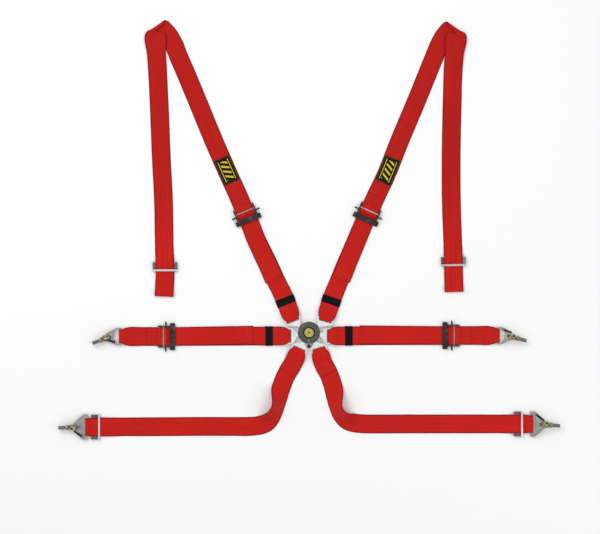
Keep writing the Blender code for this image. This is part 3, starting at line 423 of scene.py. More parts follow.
def smoothLine(knots, pitch):
    # a smooth curve through vectors of any size, evenly stepped between knots
    steps = [q - p for p, q in zip(knots, knots[1:])]
    lengths = [max(step.length, 1e-9) for step in steps]
    slopes = [steps[0] / lengths[0]]
    for before, after, near, far in zip(steps, steps[1:], lengths, lengths[1:]):
        slopes.append((before / near * far + after / far * near) / (near + far))
    slopes.append(steps[-1] / lengths[-1])
    points = []
    for start, step, length, slope, following in zip(knots, steps, lengths, slopes, slopes[1:]):
        parts = max(2, round(length / pitch))
        for k in range(parts):
            t = k / parts
            points.append(start + step * (t * t * (3 - 2 * t))
                          + (slope * (t * (1 - t) ** 2) - following * (t * t * (1 - t))) * length)
    points.append(knots[-1])
    return points


class Lane:
    # a strap's way in plan, read by the distance along it
    def __init__(self, knots):
        self.points = smoothLine([Vector(k) for k in knots], pitch=4 * mm)
        self.marks = [0.0]
        for p, q in zip(self.points, self.points[1:]):
            self.marks.append(self.marks[-1] + (q - p).length)
        self.length = self.marks[-1]

    def at(self, s):
        i = 0
        while i < len(self.marks) - 2 and self.marks[i + 1] < s:
            i += 1
        step = self.points[i + 1] - self.points[i]
        return self.points[i] + step * ((s - self.marks[i]) / step.length)

    def heading(self, s):
        low, high = max(s - 5 * mm, 0), min(s + 5 * mm, self.length)
        return (self.at(high) - self.at(low)).normalized()

    def angle(self, s):
        ahead = self.heading(s)
        return math.atan2(ahead.y, ahead.x)

    def nearest(self, point):
        point = Vector(point)
        best = min(range(len(self.points)), key=lambda i: (self.points[i] - point).length)
        return self.marks[best]


def edgePair(lane, s, z, width=strap["width"], bank=0):
    at, ahead = lane.at(s), lane.heading(s)
    side = Vector((-ahead.y, ahead.x, 0))
    lowSide = side if bank < 0 else -side
    low = Vector((at.x, at.y, z)) + lowSide * (width / 2)
    lean = math.radians(abs(bank))
    high = low - lowSide * (width * math.cos(lean)) + Vector((0, 0, width * math.sin(lean)))
    return (low, high) if bank < 0 else (high, low)


def halfTurn(centreS, centreZ, radius, inward, downward, steps=6):
    way = -1 if inward else 1
    points = []
    for k in range(steps + 1):
        angle = math.pi * k / steps
        lift = radius * math.cos(angle)
        points.append((centreS + way * radius * math.sin(angle), centreZ + (lift if downward else -lift)))
    return points


def drawnIn(s, start, end, waist):
    share = min(max((s - start) / (end - start), 0), 1)
    return strap["width"] - (strap["width"] - waist) * math.sin(share * math.pi / 2) ** 2


def evenSteps(start, end, pitch):
    count = max(1, round(abs(end - start) / pitch))
    return [start + (end - start) * k / count for k in range(count + 1)]


def joinRings(bm, rings, index=0):
    # quads from each closed ring of vertices to the next
    for before, after in zip(rings, rings[1:]):
        for j in range(len(before)):
            k = (j + 1) % len(before)
            bm.faces.new((before[j], before[k], after[k], after[j])).material_index = index


def ribbon(name, pairs, material, width=strap["width"], thickness=strap["thickness"], columns=None, pitch=None,
           centred=False, seed=0.0):
    # a woven band: rounded selvedges, a slight crown, and a map in millimetres across and along
    columns = columns or strap["columns"]
    joined = [Vector((*left, *right)) for left, right in pairs]
    smooth = smoothLine(joined, pitch=pitch or strap["pitch"])
    rows = [(Vector(both[0:3]), Vector(both[3:6])) for both in smooth]
    middles = [(left + right) / 2 for left, right in rows]
    marks = [0.0]
    for p, q in zip(middles, middles[1:]):
        marks.append(marks[-1] + (q - p).length)
    shift = marks[-1] / 2 if centred else 0
    bm = bmesh.new()
    lay = bm.loops.layers.uv.new("strapLay")
    rings, spots = [], {}
    for i, (left, right) in enumerate(rows):
        ahead = (middles[min(i + 1, len(rows) - 1)] - middles[max(i - 1, 0)]).normalized()
        across = right - left
        up = across.cross(ahead).normalized()
        if up.length < 0.5:
            up = Vector((0, 0, 1))
        ring = []
        for face in (1, -1):
            order = range(columns + 1) if face == 1 else range(columns, -1, -1)
            for j in order:
                share = 0.5 - 0.5 * math.cos(math.pi * j / columns)
                fromEdge = min(share, 1 - share) * across.length
                inward = min(fromEdge / strap["rounding"], 1)
                half = thickness / 2 * (0.30 + 0.70 * math.sqrt(1 - (1 - inward) ** 2))
                ripple = strap["ripple"] * noise.noise(Vector((share * 3, marks[i] * 90, seed)))
                at = left + across * share + up * (face * (half - strap["slack"]) + ripple)
                vertex = bm.verts.new(at)
                spots[vertex] = ((share - 0.5) * width * 1000, (marks[i] - shift) * 1000)
                ring.append(vertex)
        rings.append(ring)
    joinRings(bm, rings)
    bm.faces.new(rings[0][::-1])
    bm.faces.new(rings[-1])
    return wovenMesh(name, bm, lay, spots, material), marks[-1]


# each stitch's rings, as (share of its length, share of its thickness, lift)
stitchRings = ((0, 0.35, -0.5), (0.18, 0.9, 0.15), (0.5, 1.0, 0.35), (0.82, 0.9, 0.15), (1, 0.35, -0.5))


def stitchMesh(name, stitches, material, thickness=0.55 * mm):
    # short round stitches lying on the webbing, each from one point to another with its own up
    bm = bmesh.new()
    for start, end, up in stitches:
        ahead = end - start
        if ahead.length < 1e-6:
            continue
        side = up.cross(ahead).normalized()
        rings = []
        for share, size, lift in stitchRings:
            centre = start + ahead * share + up * (thickness / 2 * lift)
            ring = []
            for k in range(6):
                turn = 2 * math.pi * k / 6
                out = side * math.cos(turn) + up * math.sin(turn)
                ring.append(bm.verts.new(centre + out * (thickness / 2 * size)))
            rings.append(ring)
        joinRings(bm, rings)
        bm.faces.new(rings[0][::-1])
        bm.faces.new(rings[-1])
    mesh = meshFrom(name, bm)
    mesh.shade_smooth()
    return linked(name, mesh, [material])


def sewnPath(lane, corners, z, pitch=3.0 * mm, gap=0.8 * mm):
    # stitches along a path of (distance, offset) corners on a flat strap at height z
    def spot(s, offset):
        at, ahead = lane.at(s), lane.heading(s)
        return Vector((at.x - ahead.y * offset, at.y + ahead.x * offset, z))
    made = []
    for (s0, o0), (s1, o1) in zip(corners, corners[1:]):
        count = max(1, round(math.hypot(s1 - s0, o1 - o0) / pitch))
        for k in range(count):
            a, b = k / count, (k + 1) / count - gap / max(math.hypot(s1 - s0, o1 - o0), gap)
            made.append((spot(s0 + (s1 - s0) * a, o0 + (o1 - o0) * a),
                         spot(s0 + (s1 - s0) * b, o0 + (o1 - o0) * b), Vector((0, 0, 1))))
    return made


def boxStitch(lane, near, far, z, half):
    # a sewn box with a cross and two inner lines, as load-bearing joins have
    box = [(near, -half), (far, -half), (far, half), (near, half), (near, -half)]
    cross = [[(near, -half), (far, half)], [(near, half), (far, -half)]]
    lines = [[(near, side * half * 0.36), (far, side * half * 0.36)] for side in (-1, 1)]
    made = sewnPath(lane, box, z)
    for path in cross + lines:
        made += sewnPath(lane, path, z)
    return made


def sewnBox(name, lane, near, far, z, body, materials, half=19 * mm):
    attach(stitchMesh(name, boxStitch(lane, near, far, z, half), materials["redThread"]), body)


tongueBar = {"height": 7.75 * mm, "thickness": 2.5 * mm, "reach": 7 * mm, "waist": 35 * mm, "settle": 42 * mm}
keeper = {"width": 20 * mm, "thickness": 0.8 * mm, "from": 54.5 * mm}
adjuster = {"gripRadius": 3.2 * mm, "lip": 25 * mm, "rearBar": 13 * mm, "rearBarWidth": 5 * mm,
            "frameHeight": 3.5 * mm, "frameThickness": 3.2 * mm, "sewnEnd": 50 * mm}
slide = {"barWidth": 5 * mm, "underWidth": 4 * mm, "pitch": 10 * mm, "underHeight": 2 * mm,
         "underThickness": 2.4 * mm, "tail": 36 * mm, "ramp": 16 * mm, "endLoop": 3.5 * mm}
hook = {"loop": 4.4 * mm}

shoulders = {
    "left": {
        "slot": (-0.0435, 0.0330),
        "lower": [(-0.068, 0.0975), (-0.089, 0.140), (-0.1135, 0.194), (-0.140, 0.247)],
        "grip": (-0.1684, 0.3169),
        "upper": [(-0.208, 0.407), (-0.255, 0.514), (-0.299, 0.621), (-0.332, 0.700),
                  (-0.3505, 0.743), (-0.3595, 0.767), (-0.3727, 0.790), (-0.3835, 0.8055)],
        "top": (-0.4065, 0.8160), "approach": 160, "crease": 35,
        "down": [(-0.406, 0.728), (-0.4005, 0.621), (-0.394, 0.461), (-0.3885, 0.354), (-0.386, 0.220)],
        "slide": (-0.3840, 0.1660), "end": (-0.3870, 0.0960), "tailEnd": 0.118, "label": (-0.2190, 0.4330),
        "tailSway": 3.0 * mm,
    },
    "right": {
        "slot": (0.0435, 0.0330),
        "lower": [(0.060, 0.0865), (0.080, 0.136), (0.104, 0.194), (0.128, 0.249)],
        "grip": (0.1586, 0.3188),
        "upper": [(0.200, 0.407), (0.243, 0.514), (0.288, 0.621), (0.320, 0.700),
                  (0.3375, 0.743), (0.3480, 0.768), (0.3600, 0.790), (0.3700, 0.8025)],
        "top": (0.3895, 0.8120), "approach": 20, "crease": 145,
        "down": [(0.3865, 0.728), (0.3825, 0.621), (0.3795, 0.461), (0.380, 0.354), (0.3845, 0.220)],
        "slide": (0.3855, 0.1800), "end": (0.3870, 0.1080), "tailEnd": 0.116, "label": (0.2105, 0.4310),
        "tailSway": -3.0 * mm,
    },
}
laps = {
    "left": {"slot": (-0.0520, -0.0090), "grip": (-0.3820, -0.0107), "hook": (-0.5025, -0.0105), "tailEnd": 0.096,
             "tailSway": -2.5 * mm, "root": "buckle"},
    "right": {"slot": (0.0520, -0.0090), "grip": (0.3810, -0.0080), "hook": (0.5040, -0.0080), "tailEnd": 0.082,
              "tailSway": 2.5 * mm, "root": "lap_right"},
}
crotches = {
    "left": {
        "slot": (-0.0265, -0.0445),
        "way": [(-0.0455, -0.0876), (-0.0590, -0.1095), (-0.0726, -0.1418), (-0.0823, -0.1721),
                (-0.0910, -0.1985), (-0.1006, -0.2233), (-0.1125, -0.2395), (-0.1290, -0.2470),
                (-0.1608, -0.2503), (-0.230, -0.2505)],
        "slide": (-0.5600, -0.2520), "hook": (-0.5925, -0.2520), "slideWay": 1, "bankSide": -1,
    },
    "right": {
        "slot": (0.0265, -0.0445),
        "way": [(0.0405, -0.0876), (0.0525, -0.1095), (0.0640, -0.1418), (0.0715, -0.1721),
                (0.0795, -0.1985), (0.0900, -0.2215), (0.1030, -0.2350), (0.1200, -0.2410),
                (0.150, -0.2440), (0.220, -0.2440)],
        "slide": (0.5680, -0.2440), "hook": (0.5935, -0.2440), "slideWay": -1, "bankSide": 1,
    },
}
bank = {"angle": 46, "from": 0.100, "length": 0.135, "sewnEnd": 0.070}


def tongueLoop(reach, upper, lower):
    radius = tongueBar["thickness"] / 2 + seat
    clear = tongueBar["reach"] + 2 * mm
    height = tongueBar["height"]
    points = [(reach, lower), (tongueBar["settle"], lower), (clear, height - radius - strap["air"])]
    points += halfTurn(0, height, radius, True, False)
    points += [(clear, height + radius), (tongueBar["settle"], upper), (reach, upper)]
    return [(s, z, drawnIn(-s, -16 * mm, 0, tongueBar["waist"])) for s, z in points]


def frontStrap(side, kind, lane, about, bodies, materials):
    # from the tongue to the adjuster, round its bar and back as the loose tail
    gripS, tailEnd, tailSway = lane.length, about["tailEnd"], about["tailSway"]
    lower = keeper["thickness"] + strap["air"] + flat
    upper = lower + layer
    reach = keeper["from"] + keeper["width"] / 2 + 8 * mm
    width = strap["width"]
    points = [(*p, 0) for p in tongueLoop(reach, upper, lower)]
    points.append((reach + 24 * mm, flat, width, 0))
    settled = gripS - adjuster["lip"] - 5 * mm
    points += [(s, flat, width, 0) for s in evenSteps(reach + 44 * mm, settled, 45 * mm)]
    radius = adjuster["gripRadius"] + seat
    centre = flat + radius
    points += [(s, z, width, 0) for s, z in halfTurn(gripS, centre, radius, False, False)]
    for angle in (30, 60, 90):
        a = math.radians(angle)
        points.append((gripS - radius * math.sin(a), centre + radius * math.cos(a), width, 0))
    points.append((gripS - radius - 4.3 * mm, flat + layer, width, 0))
    steps = evenSteps(settled, tailEnd + 1 * mm, 45 * mm)
    for i, s in enumerate(steps):
        points.append((s, flat + layer, width, tailSway * i / (len(steps) - 1)))
    pairs = []
    for s, z, width, sway in points:
        left, right = edgePair(lane, s, z, width)
        ahead = lane.heading(s)
        shift = Vector((-ahead.y, ahead.x, 0)) * sway
        pairs.append((left + shift, right + shift))
    made, length = ribbon(titled(kind, side) + "FrontWebbing", pairs, materials["webbing"], seed=gripS * 7)
    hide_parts("webbing_" + kind + "_" + side + "_front")
    start, end = lane.at(reach + 10 * mm), lane.at(settled)
    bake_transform(made)

    keeperLoop(side, kind, lane, bodies[0], materials["elastic"])
    sewnBox(titled(kind, side) + "TongueStitching", lane, 34 * mm, 42 * mm, upper + flat + 0.05 * mm,
            bodies[0], materials, 15 * mm)
    # the loose end turned over on itself and sewn flat
    stitches = []
    for s in (tailEnd + 16 * mm, tailEnd + 20 * mm):
        row = [(s, -20 * mm + tailSway), (s, 20 * mm + tailSway)]
        stitches += sewnPath(lane, row, flat + layer + flat + 0.1 * mm)
    sewn = stitchMesh(titled(kind, side) + "TailStitching", stitches, materials["redThread"])
    start, end = lane.at(0.0825), lane.at(lane.length - 30 * mm)
    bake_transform(sewn)


def rearLoop():
    # (distance from the grip, height) of the sewn end round the frame's rear bar
    radius = math.hypot(adjuster["rearBarWidth"] / 2, adjuster["frameThickness"] / 2) + seat
    centre = adjuster["frameHeight"] + adjuster["frameThickness"] / 2
    bar = adjuster["rearBar"]
    points = [(adjuster["sewnEnd"], flat + layer), (bar + 14 * mm, flat + layer)]
    points.append((bar + 3 * mm, centre + radius))
    points += halfTurn(bar, centre, radius, True, True)
    points += [(bar + 3 * mm, centre - radius), (bar + 12 * mm, flat)]
    return points


def slideWeave(front, way):
    high = slide["underHeight"] + slide["underThickness"] + seat
    low = slide["underHeight"] + slide["underThickness"] - seat - 0.2 * mm
    half = slide["underWidth"] / 2
    stations = ((-slide["barWidth"] / 2 - mm, low), (slide["barWidth"] / 2 + 0.2 * mm, low),
                (slide["pitch"] - half, high), (2 * slide["pitch"] + half, high))
    return [(front + way * d, z) for d, z in stations]


def keeperLoop(side, kind, lane, body, material):
    # an elastic band standing round both layers of webbing
    middle, thick, width = keeper["from"], keeper["thickness"], keeper["width"]
    low = thick / 2
    top = thick + strap["air"] + flat + layer + flat + strap["air"] + thick / 2
    edge = strap["width"] / 2 + 0.4 * mm + thick / 2
    corner = (top - low) / 2
    outline = []
    for way in (1, -1):
        for k in range(9):
            a = math.pi * (k / 8 - way / 2)
            bulge = corner * 0.45 * (math.cos(a) - way)
            outline.append((way * edge + bulge, (top + low) / 2 + corner * math.sin(a)))
        for k in range(1, 12):
            crown = 0.12 * mm * math.sin(math.pi * k / 12)
            outline.append((way * edge * (1 - k / 6), top + crown if way == 1 else low))
    at, ahead = lane.at(middle), lane.heading(middle)
    forward, across = Vector((ahead.x, ahead.y, 0)), Vector((-ahead.y, ahead.x, 0))
    spots = [Vector((at.x, at.y, 0)) + across * o + Vector((0, 0, z)) for o, z in outline]
    spots.append(spots[0])
    band = forward * (width / 2)
    bm = bmesh.new()
    lay = bm.loops.layers.uv.new("strapLay")
    rings, where, travelled, columns = [], {}, 0, 10
    for i, spot in enumerate(spots[:-1]):
        onward = (spots[i + 1] - spots[i - 1 if i else -2]).normalized()
        out = band.cross(onward).normalized()
        ring = []
        for face in (1, -1):
            order = range(columns + 1) if face == 1 else range(columns, -1, -1)
            for j in order:
                share = j / columns
                inner = min(min(share, 1 - share) * width / (0.6 * mm), 1)
                depth = thick / 2 * (0.35 + 0.65 * math.sqrt(1 - (1 - inner) ** 2))
                vertex = bm.verts.new(spot + band * (2 * share - 1) + out * face * depth)
                where[vertex] = ((share - 0.5) * width * 1000, travelled * 1000)
                ring.append(vertex)
        rings.append(ring)
        travelled += (spots[i + 1] - spots[i]).length
    joinRings(bm, [*rings, rings[0]])
    made = wovenMesh(titled(kind, side) + "Keeper", bm, lay, where, material)
    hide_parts("keeper_" + kind + "_" + side)
    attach(made, body)


def buildShoulder(side, materials):
    about = shoulders[side]
    body = "shoulder_" + side
    rearBody, endBody = body + "_adjuster", body + "_slide"
    grip = Vector(about["grip"])
    run = (Vector(about["upper"][0]) - Vector(about["lower"][-1])).normalized()
    straight = [grip + run * d for d in (-0.050, -0.028, 0)]
    lower = Lane([about["slot"], *about["lower"], *straight])
    frontStrap(side, "shoulder", lower, about, (body, rearBody), materials)

    upper = Lane([*[grip + run * d for d in (0, 0.028, 0.055)], *about["upper"], about["top"]])
    pairs = [edgePair(upper, s, z) for s, z in rearLoop()]
    approach, crease = math.radians(about["approach"]), math.radians(about["crease"])
    ahead = Vector((math.cos(approach), math.sin(approach)))
    across = Vector((-ahead.y, ahead.x))
    along = Vector((math.cos(crease), math.sin(crease)))
    over = Vector((-along.y, along.x))
    over *= math.copysign(1, ahead.dot(over))
    skew = abs(strap["width"] / 2 * across.dot(over) / ahead.dot(over))
    for s in evenSteps(adjuster["rearBar"] + 28 * mm, upper.length - skew - 4 * mm, 16 * mm):
        pairs.append(edgePair(upper, s, flat))
    top = Vector(about["top"])
    radius = 2.2 * mm                     # of the turn over the oblique fold
    bend = math.pi * radius

    def onFold(advance, edge):
        runOut = (advance - edge * across.dot(over)) / ahead.dot(over)
        shift = (ahead * runOut + across * edge).dot(along)
        angle = min(max(advance / radius, 0), math.pi)
        out = radius * math.sin(angle) + min(advance, 0) - max(advance - bend, 0)
        spot = top + along * shift + over * out
        return Vector((spot.x, spot.y, flat + radius * (1 - math.cos(angle))))

    half = strap["width"] / 2
    for advance in [-mm, *evenSteps(0, bend, bend / 6), bend + mm]:
        pairs.append((onFold(advance, half), onFold(advance, -half)))
    start = top + over * bend
    away = ahead - over * 2 * ahead.dot(over)
    down = Lane([start, start + away * (skew + 8 * mm), *about["down"], about["slide"], about["end"]])
    foldHeight = flat + 2 * radius
    crossed = down.nearest(about["down"][0])
    front = down.nearest(about["slide"])
    woven = slideWeave(front, -1)[::-1]
    points = [(skew + 4 * mm, foldHeight), (crossed - 12 * mm, flat + 2 * layer)]
    points.append((crossed + 24 * mm, flat + layer))
    points += [(s, flat) for s in evenSteps(crossed + 50 * mm, front - slide["tail"] - slide["ramp"], 60 * mm)]
    points.append((front - slide["tail"] - 2 * mm, flat + layer))
    points += woven
    far = down.length
    points += [(front + 16 * mm, flat + layer + 0.6 * mm), (far - 20 * mm, flat + layer + 1.8 * mm)]
    points += halfTurn(far - 4.2 * mm, flat + slide["endLoop"], slide["endLoop"], False, True, 8)
    points += [(s, flat) for s in (far - 26 * mm, front, front - slide["tail"])]
    pairs += [edgePair(down, s, z) for s, z in points]
    rear, length = ribbon(titled("shoulder", side) + "RearWebbing", pairs, materials["webbing"],
                          seed=grip.x * 9)
    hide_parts("webbing_shoulder_" + side + "_rear")
    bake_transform(rear)

    sewnBox(titled("shoulder", side) + "FrameStitching", upper, adjuster["rearBar"] + 15 * mm,
            adjuster["sewnEnd"] - 2 * mm, flat + layer + flat + 0.05 * mm, rearBody, materials)
    labelPatch(side, upper, about["label"], rearBody, materials)


def labelPatch(side, lane, where, body, materials):
    middle = lane.nearest(where)
    length, width = labelLook["length"] * mm, labelLook["width"] * mm
    height = flat * 2 + strap["air"] + 0.35 * mm
    steps = evenSteps(middle - length / 2, middle + length / 2, 9 * mm)
    pairs = [edgePair(lane, s, height, width) for s in steps]
    patch, _ = ribbon(titled("shoulder", side) + "Label", pairs, materials["label"], width=width,
                      thickness=labelLook["thickness"] * mm, columns=14, pitch=2.2 * mm,
                      centred=True)
    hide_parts("label_shoulder_" + side)
    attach(patch, body)
    inset = 1.6 * mm
    low, high = middle - length / 2 + inset, middle + length / 2 - inset
    reach = width / 2 - inset
    corners = [(low, -reach), (high, -reach), (high, reach), (low, reach), (low, -reach)]
    sewn = stitchMesh(titled("shoulder", side) + "LabelStitching",
                      sewnPath(lane, corners, height + 0.35 * mm, 2.4 * mm), materials["goldThread"], 0.4 * mm)
    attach(sewn, body)


def hookLoop(at, mainHeight, tailHeight, tailReach, waist):
    centre = hook["loop"] + flat
    points = [(at - 22 * mm, mainHeight), (at - 3 * mm, centre + hook["loop"])]
    points += halfTurn(at, centre, hook["loop"], False, True)
    points += [(at - 12 * mm, tailHeight), (at - tailReach, tailHeight)]
    return [(s, z, drawnIn(s, at - 20 * mm, at + 2 * mm, waist)) for s, z in points]


def buildLap(side, materials):
    about = laps[side]
    body, rearBody = about["root"], "lap_" + side + "_adjuster"
    lower = Lane([about["slot"], about["grip"]])
    frontStrap(side, "lap", lower, about, (body, rearBody), materials)
    outer = Lane([about["grip"], about["hook"]])
    points = [(s, z, strap["width"]) for s, z in rearLoop()]
    points += [(adjuster["sewnEnd"], flat, strap["width"]),
               (adjuster["sewnEnd"] + 18 * mm, flat + layer, strap["width"])]
    points += hookLoop(outer.length, flat + layer, flat, 48 * mm, 36 * mm)
    anchor, length = ribbon(titled("lap", side) + "AnchorWebbing",
                            [edgePair(outer, s, z, w) for s, z, w in points], materials["webbing"],
                            seed=about["grip"][0] * 5)
    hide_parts("webbing_lap_" + side + "_anchor")
    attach(anchor, rearBody)
    for name, near, far in (("FrameStitching", adjuster["rearBar"] + 15 * mm, adjuster["sewnEnd"] - 2 * mm),
                            ("HookStitching", adjuster["sewnEnd"] + 22 * mm, outer.length - 24 * mm)):
        sewnBox(titled("lap", side) + name, outer, near, far, flat + layer + flat + 0.05 * mm, rearBody,
                materials)


def buildCrotch(side, materials):
    about = crotches[side]
    body, endBody = "crotch_" + side, "crotch_" + side + "_slide"
    lane = Lane([about["slot"], *about["way"], about["slide"], about["hook"]])
    radius = tongueBar["thickness"] / 2 + seat
    height = tongueBar["height"]
    width = strap["width"]
    upper = flat + layer
    clear = tongueBar["reach"] + 2 * mm
    points = [(bank["sewnEnd"], upper, width, 0), (tongueBar["settle"], upper, width, 0)]
    loop = [(clear, height + radius)] + halfTurn(0, height, radius, True, True)
    loop += [(clear, height - radius - strap["air"]), (tongueBar["settle"], flat)]
    points += [(s, z, drawnIn(-s, -16 * mm, 0, tongueBar["waist"]), 0) for s, z in loop]
    points += [(s, flat, width, 0) for s in (bank["sewnEnd"], bank["from"] - 12 * mm)]
    for s in evenSteps(bank["from"], bank["from"] + bank["length"], 8 * mm):
        share = math.sin(math.pi * (s - bank["from"]) / bank["length"]) ** 2
        points.append((s, flat, width, about["bankSide"] * bank["angle"] * share))
    front = lane.nearest(about["slide"])
    way = about["slideWay"]
    woven = slideWeave(front, way)[::way]
    straight = evenSteps(bank["from"] + bank["length"] + 12 * mm, front - slide["tail"] - slide["ramp"], 60 * mm)
    points += [(s, flat, width, 0) for s in straight]
    points.append((front - slide["tail"] - 2 * mm, flat + layer, width, 0))
    points += [(s, z, width, 0) for s, z in woven]
    tailReach = lane.length - front + slide["tail"]
    points += [(*p, 0) for p in hookLoop(lane.length, 0, flat, tailReach, 46 * mm)[1:]]
    pairs = [edgePair(lane, s, z, w, lean) for s, z, w, lean in points]
    made, length = ribbon(titled("crotch", side) + "Webbing", pairs, materials["webbing"],
                          seed=about["slot"][0] * 40)
    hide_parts("webbing_crotch_" + side)
    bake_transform(made)
    sewnBox(titled("crotch", side) + "TongueStitching", lane, 40 * mm, bank["sewnEnd"] - 3 * mm,
            upper + flat + 0.05 * mm, body, materials, 17 * mm)


def edgedCopy(node, name, body, material, bevel, segments=3, second=None):
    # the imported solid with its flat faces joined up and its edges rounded
    materials = [material] if second is None else [material, second[0]]
    bm = bmesh.new()
    bm.from_mesh(frame["nodes"][node].data)
    bmesh.ops.remove_doubles(bm, verts=bm.verts, dist=2e-6)
    bmesh.ops.dissolve_limit(bm, angle_limit=math.radians(1.5), verts=bm.verts, edges=bm.edges)
    bmesh.ops.triangulate(bm, faces=bm.faces, quad_method="BEAUTY", ngon_method="BEAUTY")
    mesh = meshFrom(name, bm)
    made = linked(name, mesh, materials)
    # second is a (material, face test) pair; the slides use it to give their cheeks the painted shade and dark
    # reflection
    if second:
        for face in mesh.polygons:
            face.material_index = 1 if second[1](face.center) else 0
    rounding = made.modifiers.new("edges", "BEVEL")
    rounding.width = bevel
    rounding.segments = segments
    rounding.limit_method = "ANGLE"
    rounding.angle_limit = math.radians(30)
    rounding.harden_normals = True
    mesh.shade_smooth()
    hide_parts(node)
    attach(made, body)


def lathed(name, profile, steps, materials, wobble=None, faceMaterial=None):
    # a profile of (radius, height) from the axis or bore round to the axis or bore, turned about Z
    bm = bmesh.new()
    rings = []
    for radius, height in profile:
        if radius < 1e-7:
            rings.append([bm.verts.new((0, 0, height))])
            continue
        ring = []
        for k in range(steps):
            turn = 2 * math.pi * k / steps
            reach = radius * (wobble(radius, height, turn) if wobble else 1)
            ring.append(bm.verts.new((reach * math.cos(turn), reach * math.sin(turn), height)))
        rings.append(ring)
    for i, (before, after) in enumerate(zip(rings, rings[1:])):
        for k in range(steps):
            j = (k + 1) % steps
            if len(before) == 1 and len(after) == 1:
                continue
            if len(before) == 1:
                face = bm.faces.new((before[0], after[k], after[j]))
            elif len(after) == 1:
                face = bm.faces.new((before[k], after[0], before[j]))
            else:
                face = bm.faces.new((before[k], after[k], after[j], before[j]))
            if faceMaterial:
                face.material_index = faceMaterial(i)
    if len(rings[0]) > 1 and len(rings[-1]) > 1:
        for k in range(steps):
            j = (k + 1) % steps
            bm.faces.new((rings[-1][k], rings[0][k], rings[0][j], rings[-1][j]))
    mesh = meshFrom(name, bm)
    mesh.shade_smooth()
    mesh.set_sharp_from_angle(angle=math.radians(38))
    return linked(name, mesh, materials)


def softCorners(points, radius, parts=3):
    # a profile with its inner corners rounded
    made = [points[0]]
    for before, corner, after in zip(points, points[1:], points[2:]):
        corner, before, after = Vector(corner), Vector(before), Vector(after)
        near, far = before - corner, after - corner
        reach = min(radius, near.length * 0.45, far.length * 0.45)
        if reach < 1e-6 or near.normalized().angle(far.normalized()) > 3.0:
            made.append(tuple(corner))
            continue
        a = corner + near.normalized() * reach
        b = corner + far.normalized() * reach
        for k in range(parts + 1):
            t = k / parts
            made.append(tuple(a * (1 - t) ** 2 + corner * (2 * t * (1 - t)) + b * t * t))
    made.append(points[-1])
    return made


buckle = {
    "dialRadius": 29.5 * mm, "dialTop": 24 * mm, "dialBottom": 14.7 * mm, "recessRadius": 15.5 * mm,
    "recessFloor": 22 * mm, "badgeRadius": 12.5 * mm, "badgeTop": 24.8 * mm, "grips": 16, "gripDepth": 0.022,
    "bore": 3.3 * mm, "bossRadius": 6.6 * mm, "bossTop": 18.7 * mm, "webTop": 17.5 * mm, "skirt": 24.4 * mm,
}
latchSpring = {"turns": 3.5, "sides": 20, "radius": 5.5 * mm, "wire": 0.3 * mm}


